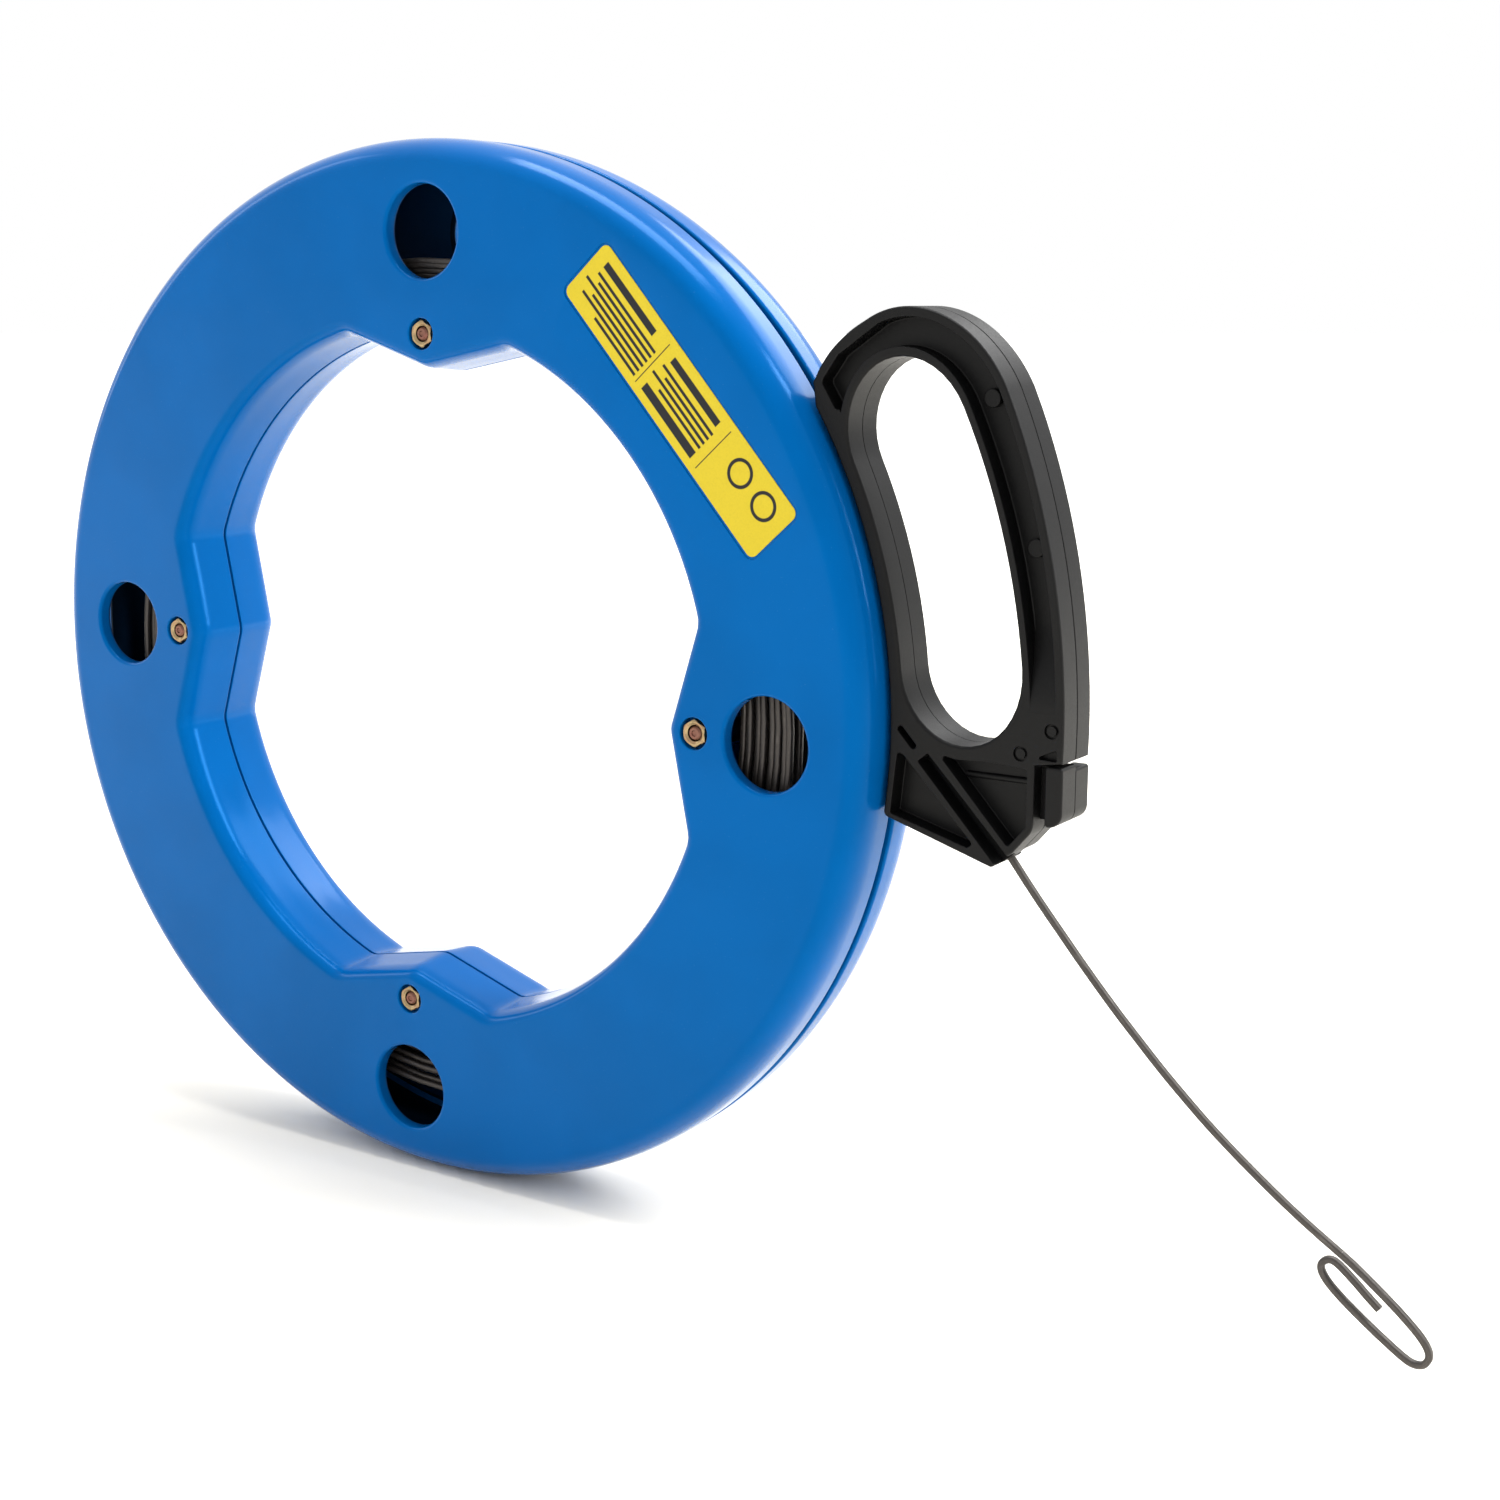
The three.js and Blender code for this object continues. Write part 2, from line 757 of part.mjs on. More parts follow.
function tapeEye() {
  const [endX, endZ] = leadRoute[leadRoute.length - 1];
  return tapeAlongCurve(
    eyeRoute.map(([x, y, z]) => [noseExit[0] + endX + x, y, noseExit[1] + endZ + z]),
    44,
  );
}

// ---------------------------------------------------------------- assembly

const finish = (color, roughness, metalness) => new THREE.MeshStandardMaterial({ color, roughness, metalness });
const materials = {
  case: finish(0x0064b8, 0.3, 0),
  grip: finish(0x222224, 0.5, 0),
  zinc: finish(0xa89868, 0.35, 0.9),
  screw: finish(0x6d6d70, 0.4, 0.9),
  tape: finish(0x5a5650, 0.45, 0.8),
  label: finish(0xdcc93a, 0.4, 0),
};

const reel = new THREE.Group();

function place(name, body, material) {
  const mesh = new THREE.Mesh(geometryOf(body), material);
  mesh.name = name;
  reel.add(mesh);
}

const shellBlank = caseForm();
place("case_front_shell", shell(-1, shellBlank), materials.case);
place("case_rear_shell", shell(1, shellBlank), materials.case);
boltPlaces.forEach(([x, z], i) => {
  place(`case_bolt_${i + 1}`, caseBolt(x, z), materials.zinc);
  place(`case_nut_${i + 1}`, caseNut(x, z), materials.zinc);
});
place("label", label(), materials.label);
place("grip_front_half", gripHalf(-1), materials.grip);
place("grip_rear_half", gripHalf(1), materials.grip);
gripScrews.forEach((screw, i) => place(`grip_screw_${i + 1}`, gripScrew(...screw), materials.screw));
place("tape_coil", tapeCoil(), materials.tape);
place("tape_feed", tapeFeed(), materials.tape);
place("tape_lead", tapeLead(), materials.tape);
place("tape_eye", tapeEye(), materials.tape);

const [holdX, holdZ] = onRim((gripOpenStart + gripOpenEnd) / 2, gripOpenOuter + gripBand / 2);
reel.position.set(-holdX, 0, -holdZ);

export default reel;
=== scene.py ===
"""Fish tape reel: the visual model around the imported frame, laid out as an add-on and run as a script."""

import json
import math

import bmesh
import bpy
import numpy as np
from mathutils import Matrix, Vector


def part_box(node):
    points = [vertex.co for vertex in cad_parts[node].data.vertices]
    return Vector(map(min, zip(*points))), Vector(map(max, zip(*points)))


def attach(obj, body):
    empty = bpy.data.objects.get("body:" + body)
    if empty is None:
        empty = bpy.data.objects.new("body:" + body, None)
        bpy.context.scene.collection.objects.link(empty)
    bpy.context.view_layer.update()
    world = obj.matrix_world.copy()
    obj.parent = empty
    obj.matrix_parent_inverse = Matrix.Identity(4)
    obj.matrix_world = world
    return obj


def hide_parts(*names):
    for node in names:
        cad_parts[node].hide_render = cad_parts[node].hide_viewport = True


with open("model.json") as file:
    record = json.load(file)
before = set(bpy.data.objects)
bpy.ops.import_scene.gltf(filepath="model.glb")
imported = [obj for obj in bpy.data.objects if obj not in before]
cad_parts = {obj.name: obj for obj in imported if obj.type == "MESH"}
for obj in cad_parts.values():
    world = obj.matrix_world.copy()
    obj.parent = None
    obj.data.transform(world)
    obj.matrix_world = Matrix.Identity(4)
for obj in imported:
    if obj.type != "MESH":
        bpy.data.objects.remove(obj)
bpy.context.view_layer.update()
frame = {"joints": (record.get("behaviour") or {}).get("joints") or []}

bl_info = {
    "name": "Fish tape reel",
    "version": (1, 0, 0),
    "blender": (4, 5, 0),
    "location": "View3D > Sidebar > Reel",
    "description": "Builds a fish tape reel: case shells, hand grip, steel tape, fasteners, sticker and studio",
    "category": "Object",
}

MM = 0.001
TURN = 2 * math.pi

# The middle of the case, in the row frame; every outline below is laid out about it, in millimetres.
CENTRE = np.array(next(j for j in frame["joints"] if j["name"] == "case_spin")["pos_m"]) / MM


# ---------------------------------------------------------------- outlines, in the plane of the case


def polar(radius, degrees):
    """Points at a radius and an angle from the middle of the case."""
    angle = np.radians(degrees)
    return np.stack([radius * np.cos(angle), radius * np.sin(angle)], -1)


def on_rim(points, case_radius):
    """Maps (along, rise) to (x, z): along is measured round the rim and rise outwards from it."""
    along, rise = np.asarray(points, float).T
    return polar(case_radius + rise, np.degrees(along / case_radius))


def arc(cx, cy, radius, start, end, steps):
    """Points on a circle's arc from one angle to another, in degrees."""
    return np.array([cx, cy]) + polar(radius, np.linspace(start, end, steps + 1))


def smooth_curve(points, steps):
    """A Catmull-Rom curve through the points, with a few steps between each two."""
    points = np.asarray(points, float)
    padded = np.vstack([2 * points[0] - points[1], points, 2 * points[-1] - points[-2]])
    t = np.linspace(0, 1, steps, endpoint=False)[:, None]
    parts = []
    for a, b, c, d in zip(padded, padded[1:], padded[2:], padded[3:]):
        parts.append(0.5 * (2 * b + (c - a) * t + (2 * a - 5 * b + 4 * c - d) * t**2 + (3 * b - 3 * c + d - a) * t**3))
    return np.vstack(parts + [points[-1:]])


def rounded(corners, radii, steps=6):
    """The same closed outline with its corners cut back to arcs of the given radii."""
    corners = np.asarray(corners, float)
    radii = np.broadcast_to(radii, len(corners))
    points = []
    for i, radius in enumerate(radii):
        corner = corners[i]
        before, after = corners[i - 1] - corner, corners[(i + 1) % len(corners)] - corner
        before, after = before / np.hypot(*before), after / np.hypot(*after)
        half = math.acos(float(np.clip(before @ after, -1, 1))) / 2
        if radius == 0 or half > math.radians(88):
            points.append(corner[None])
            continue
        middle = (before + after) / np.hypot(*(before + after)) * radius / math.sin(half)
        reach = radius / math.tan(half)
        first, last = before * reach - middle, after * reach - middle
        start = math.atan2(first[1], first[0])
        sweep = (math.atan2(last[1], last[0]) - start + math.pi) % TURN - math.pi
        angles = start + sweep * np.linspace(0, 1, steps + 1)
        points.append(corner + middle + radius * np.stack([np.cos(angles), np.sin(angles)], -1))
    return np.vstack(points)


def anticlockwise(outline):
    """The outline turned so that its inside lies to the left."""
    x, z = outline.T
    area = np.sum(x * np.roll(z, -1) - np.roll(x, -1) * z)
    return outline if area > 0 else outline[::-1]


def moved_out(outline, distance):
    """The closed outline moved outwards by a distance along its normals; a negative distance draws it in."""
    ahead = np.roll(outline, -1, 0) - outline
    ahead = ahead / np.maximum(np.hypot(*ahead.T), 1e-9)[:, None]
    behind = np.roll(ahead, 1, 0)
    normal = np.stack([ahead[:, 1] + behind[:, 1], -ahead[:, 0] - behind[:, 0]], -1)
    length = np.maximum(np.hypot(*normal.T), 1e-9)[:, None]
    normal = normal / length
    # A corner's normal is lengthened so that both of its sides move by the same distance.
    spread = np.clip((normal * np.stack([ahead[:, 1], -ahead[:, 0]], -1)).sum(1), 0.5, 1)[:, None]
    return outline + normal * distance / spread


# ---------------------------------------------------------------- meshes


def mesh_object(name, points, faces, smooth_angle=35.0):
    """Makes an object from points in millimetres about the case's middle, with its faces outwards and
    sharp edges kept sharp."""
    mesh = bpy.data.meshes.new(name)
    mesh.from_pydata(((np.asarray(points) + CENTRE) * MM).tolist(), [], [list(f) for f in faces])
    mesh.validate()
    mesh.update()
    obj = bpy.data.objects.new(name, mesh)
    bpy.context.scene.collection.objects.link(obj)
    outward(obj)
    shade(obj, smooth_angle)
    return obj


def outward(obj):
    """Recalculates the normals of a closed mesh so that they point outwards."""
    work = bmesh.new()
    work.from_mesh(obj.data)
    bmesh.ops.recalc_face_normals(work, faces=work.faces)
    work.to_mesh(obj.data)
    work.free()


def shade(obj, angle):
    """Smooth shading, split where two faces meet at more than the angle, in degrees."""
    obj.data.polygons.foreach_set("use_smooth", np.ones(len(obj.data.polygons), bool))
    obj.data.set_sharp_from_angle(angle=math.radians(angle))
    obj.data.update()


def grid_faces(rows, columns, wrap_rows, wrap_columns):
    """Quads of a grid of points numbered row by row, closed on itself along either way."""
    i = np.arange(rows if wrap_rows else rows - 1)[:, None]
    j = np.arange(columns if wrap_columns else columns - 1)[None]
    i2, j2 = (i + 1) % rows, (j + 1) % columns
    a, b, c, d = i * columns + j, i * columns + j2, i2 * columns + j2, i2 * columns + j
    return np.stack([a, b, c, d], -1).reshape(-1, 4)


def lifted(points, y=0.0):
    """Puts points of the case's plane at a height y along its axis."""
    points = np.asarray(points, float)
    return np.stack([points[:, 0], np.full(len(points), y), points[:, 1]], -1)


def swept_ring(rings):
    """A closed solid through a row of rings that have the same number of points."""
    rings = np.asarray(rings, float)
    rows, count = rings.shape[:2]
    faces = grid_faces(rows, count, False, True).tolist()
    faces.append(list(range(count)))
    faces.append([(rows - 1) * count + k for k in range(count)])
    return rings.reshape(-1, 3), faces


def prism(outline, rings):
    """A closed solid whose section is the outline; each ring is (distance the outline moves out, y)."""
    outline = anticlockwise(np.asarray(outline, float))
    return swept_ring([lifted(moved_out(outline, out) if out else outline, y) for out, y in rings])


QUARTER = np.linspace(0, math.pi / 2, 5)


def slab_rings(y_first, y_last, first=0.0, last=0.0):
    """Rings of a slab whose two ends have edges rounded to the given radii."""

    def edge(y, way, radius):
        turns = QUARTER if radius else QUARTER[:1]
        return [(-radius * (1 - math.sin(a)), y + way * radius * (1 - math.cos(a))) for a in turns]

    way = 1 if y_last > y_first else -1
    return edge(y_first, way, first) + edge(y_last, -way, last)[::-1]


def sunk_rings(face, floor, mouth=0.25, fillet=0.0):
    """Rings of a cutter that sinks a pocket from a face to a floor: the mouth is rounded outwards and the
    floor's edge filleted inwards."""
    way = 1 if face > floor else -1
    rings = [(mouth, face + way)]
    rings += [(mouth * (1 - math.sin(a)), face - way * mouth * (1 - math.cos(a))) for a in QUARTER]
    if fillet:
        return rings + [(-fillet * (1 - math.cos(a)), floor + way * fillet * (1 - math.sin(a))) for a in QUARTER]
    return rings + [(0, floor)]


def disc(radius, x, z, steps=48):
    """A round outline."""
    return np.array([x, z]) + polar(radius, np.arange(steps) * 360 / steps)


def turned(profile, x, z, steps=48):
    """A solid of revolution about the line along Y through (x, z); the profile is (radius, y) points
    that start and end on the axis or close on themselves."""
    profile = np.asarray(profile, float)
    on_axis = profile[0][0] == 0
    ring = profile[1:-1] if on_axis else profile
    count = len(ring)
    angles = np.linspace(0, TURN, steps, endpoint=False)[:, None]
    radius, height = ring[None, :, 0], np.broadcast_to(ring[None, :, 1], (steps, count))
    points = np.stack([x + radius * np.cos(angles), height, z + radius * np.sin(angles)], -1).reshape(-1, 3)
    faces = grid_faces(steps, count, True, not on_axis).tolist()
    if on_axis:
        low, high = len(points), len(points) + 1
        points = np.vstack([points, [x, profile[0][1], z], [x, profile[-1][1], z]])
        faces += [[low, i * count, (i + 1) % steps * count][::-1] for i in range(steps)]
        faces += [[high, i * count + count - 1, (i + 1) % steps * count + count - 1] for i in range(steps)]
    return points, faces


def joined(solids):
    """One list of points and faces from several solids that don't touch."""
    points, faces, start = [], [], 0
    for solid_points, solid_faces in solids:
        points.append(solid_points)
        faces += [[start + k for k in f] for f in solid_faces]
        start += len(solid_points)
    return np.vstack(points), faces


def combine(obj, solids, operation):
    """Joins solids to the object, or cuts them out of it, and applies the result."""
    tool = mesh_object("tool", *joined(solids))
    modifier = obj.modifiers.new("combine", "BOOLEAN")
    modifier.operation = operation
    modifier.solver = "MANIFOLD"
    modifier.object = tool
    before = len(obj.data.vertices)
    apply_modifiers(obj)
    bpy.data.objects.remove(tool)
    if len(obj.data.vertices) == before:
        raise RuntimeError(f"{obj.name}: {operation} changed nothing")


def add(obj, *solids):
    """Joins the solids to the object."""
    combine(obj, solids, "UNION")


def cut(obj, *solids):
    """Cuts the solids out of the object."""
    combine(obj, solids, "DIFFERENCE")


def apply_modifiers(obj):
    """Replaces the object's mesh by its evaluated one, with no modifier left on it."""
    bpy.context.view_layer.update()
    evaluated = obj.evaluated_get(bpy.context.evaluated_depsgraph_get())
    mesh = bpy.data.meshes.new_from_object(evaluated)
    obj.modifiers.clear()
    old, obj.data = obj.data, mesh
    bpy.data.meshes.remove(old)
    mesh.name = obj.name


def finish_surface(obj, angle=35.0):
    """Marks sharp edges, and weights the normals by area so that flat faces shade flat."""
    shade(obj, angle)
    modifier = obj.modifiers.new("weighted", "WEIGHTED_NORMAL")
    modifier.keep_sharp = True
    modifier.weight = 50
    apply_modifiers(obj)


# ---------------------------------------------------------------- shader maths


class Value:
    """A socket that takes part in Python expressions; each operator adds one Math node."""

    def __init__(self, sheet, socket):
        self.sheet, self.socket = sheet, socket

    def _math(self, operation, *values):
        return self.sheet.node("ShaderNodeMath", {"operation": operation}, dict(enumerate(values)))

    def __add__(self, other):
        return self._math("ADD", self, other)

    def __sub__(self, other):
        return self._math("SUBTRACT", self, other)

    def __mul__(self, other):
        return self._math("MULTIPLY", self, other)

    def __pow__(self, other):
        return self._math("POWER", self, other)

    def __radd__(self, other):
        return self._math("ADD", other, self)

    def __rsub__(self, other):
        return self._math("SUBTRACT", other, self)

    def __rmul__(self, other):
        return self._math("MULTIPLY", other, self)

    def absolute(self):
        return self._math("ABSOLUTE", self)

    def least(self, other):
        return self._math("MINIMUM", self, other)

    def most(self, other):
        return self._math("MAXIMUM", self, other)

    def rises(self, low, high):
        """0 below low, 1 above high, and a smooth step between them."""
        settings = {"interpolation_type": "SMOOTHSTEP"}
        return self.sheet.node("ShaderNodeMapRange", settings, {0: self, 1: low, 2: high, 3: 0.0, 4: 1.0})

    def falls(self, low, high):
        """1 below low, 0 above high, and a smooth step between them."""
        return 1.0 - self.rises(low, high)


class Sheet:
    """A material's node tree, with one Principled shader."""

    def __init__(self, name, **constants):
        self.material = bpy.data.materials.new(name)
        self.material.use_nodes = True
        self.tree = self.material.node_tree
        self.tree.nodes.clear()
        output = self.tree.nodes.new("ShaderNodeOutputMaterial")
        self.shader = self.tree.nodes.new("ShaderNodeBsdfPrincipled")
        self.tree.links.new(self.shader.outputs[0], output.inputs["Surface"])
        for socket, value in constants.items():
            self.shader.inputs[socket.replace("_", " ")].default_value = value

    def node(self, kind, settings=None, inputs=None, output=0):
        """Adds a node: its settings first, then the values or links of its sockets."""
        made = self.tree.nodes.new(kind)
        for key, value in (settings or {}).items():
            setattr(made, key, value)
        for key, value in (inputs or {}).items():
            if isinstance(value, Value):
                self.tree.links.new(value.socket, made.inputs[key])
            else:
                made.inputs[key].default_value = value
        return Value(self, made.outputs[output])

    def feed(self, socket, value):
        """Links a value to a socket of the Principled shader."""
        self.tree.links.new(value.socket, self.shader.inputs[socket])

    def place(self, scale=1 / MM):
        """Object coordinates about the middle of the case, in millimetres unless scaled otherwise."""
        return self.about(self.node("ShaderNodeTexCoord", output="Object"), CENTRE * MM, (scale,) * 3)

    def attribute(self, name):
        """A vector that the mesh holds at its points."""
        return self.node("ShaderNodeAttribute", {"attribute_name": name}, output="Vector")

    def parts(self, vector):
        """The vector's x, y and z."""
        split = self.tree.nodes.new("ShaderNodeSeparateXYZ")
        self.tree.links.new(vector.socket, split.inputs[0])
        return [Value(self, socket) for socket in split.outputs]

    def about(self, vector, origin, scale):
        """The coordinates moved so that origin is their zero, then scaled."""
        shift = self.node("ShaderNodeVectorMath", {"operation": "SUBTRACT"}, {0: vector, 1: tuple(origin)})
        return self.node("ShaderNodeVectorMath", {"operation": "MULTIPLY"}, {0: shift, 1: tuple(scale)})

    def noise(self, vector, scale, detail, roughness):
        """Noise from 0 to 1 over the coordinates."""
        inputs = {"Vector": vector, "Scale": scale, "Detail": detail, "Roughness": roughness}
        return self.node("ShaderNodeTexNoise", {}, inputs, "Fac")

    def mix(self, factor, first, second):
        """Mixes two colours."""
        settings = {"data_type": "RGBA", "clamp_factor": True}
        return self.node("ShaderNodeMix", settings, {0: factor, 6: first, 7: second}, 2)

    def bump(self, height, distance, strength, normal=None):
        """A normal that follows the height, on top of another normal where one is given."""
        inputs = {"Height": height, "Distance": distance, "Strength": strength}
        if normal is not None:
            inputs["Normal"] = normal
        return self.node("ShaderNodeBump", {}, inputs)


def colour(values, share=1.0):
    """The colour times a share, with its alpha."""
    return (*(value * share for value in values), 1.0)


def wear(obj, node, sheet, body):
    """Gives a piece its material, the body it moves with and the node it stands for."""
    obj.data.materials.clear()
    obj.data.materials.append(sheet.material)
    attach(obj, body)
    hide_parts(node)


# ---------------------------------------------------------------- settings


def length(name, description, default):
    """A size in metres that a user can set."""
    return bpy.props.FloatProperty(name=name, description=description, default=default, min=0.0, unit="LENGTH")


def tint(name, description, default):
    """A colour that a user can set."""
    return bpy.props.FloatVectorProperty(
        name=name, description=description, default=default, size=3, subtype="COLOR", min=0.0, max=1.0
    )


class ReelCaseSettings(bpy.types.PropertyGroup):
    radius: length("Radius", "Outer radius of the case", 0.155)
    thickness: length("Thickness", "Thickness of the closed case", 0.0344)
    bore_radius: length("Bore radius", "Radius of the central hole at its middle", 0.1017)
    bump_height: length("Bump height", "How far the finger bumps reach into the hole", 0.0124)
    window_radius: length("Window radius", "Radius of the round windows", 0.0132)
    plastic: tint("Case plastic", "Colour of the case's plastic", (0.0, 0.094, 0.33))


class ReelGripSettings(bpy.types.PropertyGroup):
    thickness: length("Thickness", "Thickness of the hand grip", 0.016)
    wall: length("Wall", "Thickness of the walls round its pockets", 0.0022)
    plastic: tint("Grip plastic", "Colour of the grip's plastic", (0.002, 0.002, 0.0022))


class ReelTapeSettings(bpy.types.PropertyGroup):
    width: length("Width", "Size of the tape along the case's axis", 0.002)
    thickness: length("Thickness", "Size of the tape in the plane of the case", 0.0018)
    coil_radius: length("Coil radius", "Outer radius of the wound tape", 0.124)
    turns: bpy.props.IntProperty(name="Turns", description="Turns of tape in the coil", default=41, min=1)
    steel: tint("Steel", "Colour of the oiled spring steel", (0.078, 0.070, 0.065))


class ReelLabelSettings(bpy.types.PropertyGroup):
    length: length("Length", "Length of the sticker", 0.0926)
    width: length("Width", "Width of the sticker", 0.0194)
    film: tint("Film", "Ground colour of the sticker", (0.58, 0.45, 0.02))
    ink: tint("Ink", "Colour of its printed marks", (0.012, 0.012, 0.015))


class ReelStageSettings(bpy.types.PropertyGroup):
    floor: tint("Floor", "Colour of the studio floor", (0.88, 0.85, 0.78))
    lens: bpy.props.FloatProperty(name="Lens", description="Focal length of the camera", default=53.104, unit="CAMERA")


SETTINGS = {
    "reel_case": ReelCaseSettings,
    "reel_grip": ReelGripSettings,
    "reel_tape": ReelTapeSettings,
    "reel_label": ReelLabelSettings,
    "reel_stage": ReelStageSettings,
}


# ---------------------------------------------------------------- stage


CAMERA_PLACE = (437.64, -502.97, 108.48)  # mm about the middle of the case
CAMERA_TURN = (33.27864, 11.38888)  # azimuth and elevation, in degrees


def add_camera(lens):
    """A camera turned by an azimuth round the upright axis and raised by an elevation, with no roll."""
    azimuth, elevation = (math.radians(a) for a in CAMERA_TURN)
    level = math.cos(elevation)
    back = np.array([math.sin(azimuth) * level, -math.cos(azimuth) * level, math.sin(elevation)])
    right = np.array([math.cos(azimuth), math.sin(azimuth), 0.0])
    axes = np.stack([right, np.cross(back, right), back], -1)
    place = (np.array(CAMERA_PLACE) + CENTRE) * MM
    data = bpy.data.cameras.new("studio_camera")
    data.sensor_width, data.lens, data.clip_end = 36.0, lens, 20.0
    camera = bpy.data.objects.new("studio_camera", data)
    camera.matrix_world = Matrix([(*row, p) for row, p in zip(axes, place)] + [(0, 0, 0, 1)])
    bpy.context.scene.collection.objects.link(camera)
    bpy.context.scene.camera = camera


# Name, place and target about the middle of the case in metres, width and height in metres, watts.
SOFTBOXES = [
    ("top_softbox", (0.0, 0.05, 1.4), (0, 0, 0), (1.0, 0.5), 16),
    ("side_softbox", (1.4, 0.5, 0.9), (0.1, 0, 0), (0.3, 1.4), 22),
    ("back_softbox", (0.5, 1.3, 1.2), (0, 0, 0), (1.4, 0.8), 17),
    ("left_softbox", (-1.5, -0.4, 0.7), (0, 0, 0), (0.3, 1.2), 3),
]


def add_softbox(name, place, target, size, power):
    """A rectangular lamp at a place, turned to face the target."""
    data = bpy.data.lights.new(name, "AREA")
    data.shape, data.size, data.size_y, data.energy = "RECTANGLE", *size, power
    lamp = bpy.data.objects.new(name, data)
    lamp.location = Vector(CENTRE * MM) + Vector(place)
    lamp.rotation_euler = (Vector(target) - Vector(place)).to_track_quat("-Z", "Y").to_euler()
    bpy.context.scene.collection.objects.link(lamp)


FLOOR_EXTENT = 8.0  # metres each way
FLOOR_GLOW = (0.2, 1.6, 0.9)  # metres from the middle where it starts and where it is full, and how strong


def add_floor(case_radius, tone):
    """A wide flat floor just under the rim, which glows more with distance until it is a plain backdrop."""
    sheet = Sheet("studio_floor", Base_Color=colour(tone), Roughness=1.0, Specular_IOR_Level=0.0, Emission_Strength=1.0)
    x, y, _ = sheet.parts(sheet.place(1.0))
    near, far, most = FLOOR_GLOW
    lift = ((x * x + y * y) ** 0.5).rises(near, far) * most
    sheet.feed("Emission Color", sheet.mix(lift, colour((0, 0, 0)), colour((1, 1, 1))))
    points = np.array([[-1, -1, 0], [1, -1, 0], [1, 1, 0], [-1, 1, 0]]) * FLOOR_EXTENT / MM
    points[:, 2] = -case_radius
    mesh = bpy.data.meshes.new("studio_floor")
    mesh.from_pydata((points + CENTRE * MM).tolist(), [], [[0, 1, 2, 3]])
    floor = bpy.data.objects.new("studio_floor", mesh)
    bpy.context.scene.collection.objects.link(floor)
    mesh.materials.append(sheet.material)


def light_world():
    """Even white light from all sides."""
    world = bpy.data.worlds.new("studio_world")
    world.use_nodes = True
    background = world.node_tree.nodes["Background"]
    background.inputs[0].default_value = (1, 1, 1, 1)
    background.inputs[1].default_value = 1.0
    bpy.context.scene.world = world


class REEL_OT_stage(bpy.types.Operator):
    """Sets the camera, the soft studio light and the floor"""

    bl_idname = "reel.stage"
    bl_label = "Stage"

    def execute(self, context):
        scene = context.scene
        scene.view_settings.view_transform = "Standard"
        add_camera(scene.reel_stage.lens)
        add_floor(scene.reel_case.radius, scene.reel_stage.floor)
        light_world()
        for softbox in SOFTBOXES:
            add_softbox(*softbox)
        return {"FINISHED"}


# ---------------------------------------------------------------- tape


NOSE = np.array([188.6, -32.2])  # where the tape leaves the grip, about the middle of the case
LEAD_INSIDE = 4.0  # how far back inside the nose the free tape begins
HAIRLINE = 0.3  # gap between two stretches of the tape
TAPE_EDGE = 0.5  # radius of the tape's rounded edges
COIL_RADII = (107.6, 126.8)  # of the loose turns, innermost and outermost
COIL_SAG = 5.5  # how far the outermost turns hang
COIL_SPREAD = 2.5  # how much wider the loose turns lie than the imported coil, on either side
COIL_LANES = 5  # turns that lie side by side in one layer

LEAD_ROUTE = [
    (0, 0), (4.9, -6.2), (9.9, -12.3), (15.1, -18.4), (20.4, -24.6), (25.8, -30.7), (31.4, -36.8), (37.2, -42.8),
    (43.2, -48.9), (49.4, -54.8), (55.8, -60.6), (62.4, -66.1), (69.3, -71.5), (76.4, -76.8), (83.9, -82.0),
    (92.0, -87.2),
]  # fmt: skip
EYE_ROUTE = [
    (0.02, 0, -0.013), (2.7, 0, -1.8), (5.3, 0, -3.7), (10.5, 0, -7.7), (15.8, 0.1, -12.1), (20.3, 0.2, -16.4),
    (22.4, 0.3, -19.5), (22.6, 0.5, -21.8), (21.3, 0.6, -23.7), (19.1, 0.7, -24.1), (16.4, 0.8, -23.1),
    (10.8, 0.9, -19.5), (5.4, 1.0, -15.7), (0.3, 1.1, -11.8), (-3.2, 1.3, -8.7), (-5.1, 1.5, -6.0),
    (-5.0, 1.7, -4.0), (-3.3, 1.9, -3.0), (-1.2, 2.0, -3.7), (2.8, 2.0, -6.9), (6.1, 2.0, -9.9), (9.6, 2.0, -12.9),
]  # fmt: skip


def tape_line(coil_radius, thickness):
    """The straight run's direction, and how far before the nose it touches the coil's outermost turn."""
    tangent = coil_radius - thickness / 2
    reach = math.hypot(*NOSE)
    slope = math.asin(tangent / reach) - math.atan2(NOSE[1], NOSE[0])
    return np.array([math.cos(slope), -math.sin(slope)]), math.sqrt(reach**2 - tangent**2)


def swept(name, path, width, thickness):
    """A tape along a path: a rounded rectangle, width along the case's axis and thickness across it,
    carried along the path square to it. The attribute 'lay' holds the length run and the place round
    the section, for the grain of the steel."""
    path = np.asarray(path, float)
    along = np.gradient(path, axis=0)
    along /= np.linalg.norm(along, axis=1)[:, None]
    axis = np.array([0.0, 1.0, 0.0])
    side = axis - along * (along @ axis)[:, None]
    side /= np.linalg.norm(side, axis=1)[:, None]
    flat = np.cross(along, side)
    w, t = width / 2, thickness / 2
    section = rounded([(w, -t), (w, t), (-w, t), (-w, -t)], TAPE_EDGE, 2)
    points = path[:, None] + section[None, :, :1] * side[:, None] + section[None, :, 1:] * flat[:, None]
    rows, columns = len(path), len(section)
    obj = mesh_object(name, *swept_ring(points), 50)
    run = np.concatenate([[0], np.cumsum(np.linalg.norm(np.diff(path, axis=0), axis=1))])
    around = TURN * np.arange(columns) / columns
    lay = np.stack([np.repeat(run, columns), np.tile(np.cos(around), rows), np.tile(np.sin(around), rows)], -1)
    obj.data.attributes.new("lay", "FLOAT_VECTOR", "POINT").data.foreach_set("vector", lay.astype(np.float32).ravel())
    return obj, run[-1]


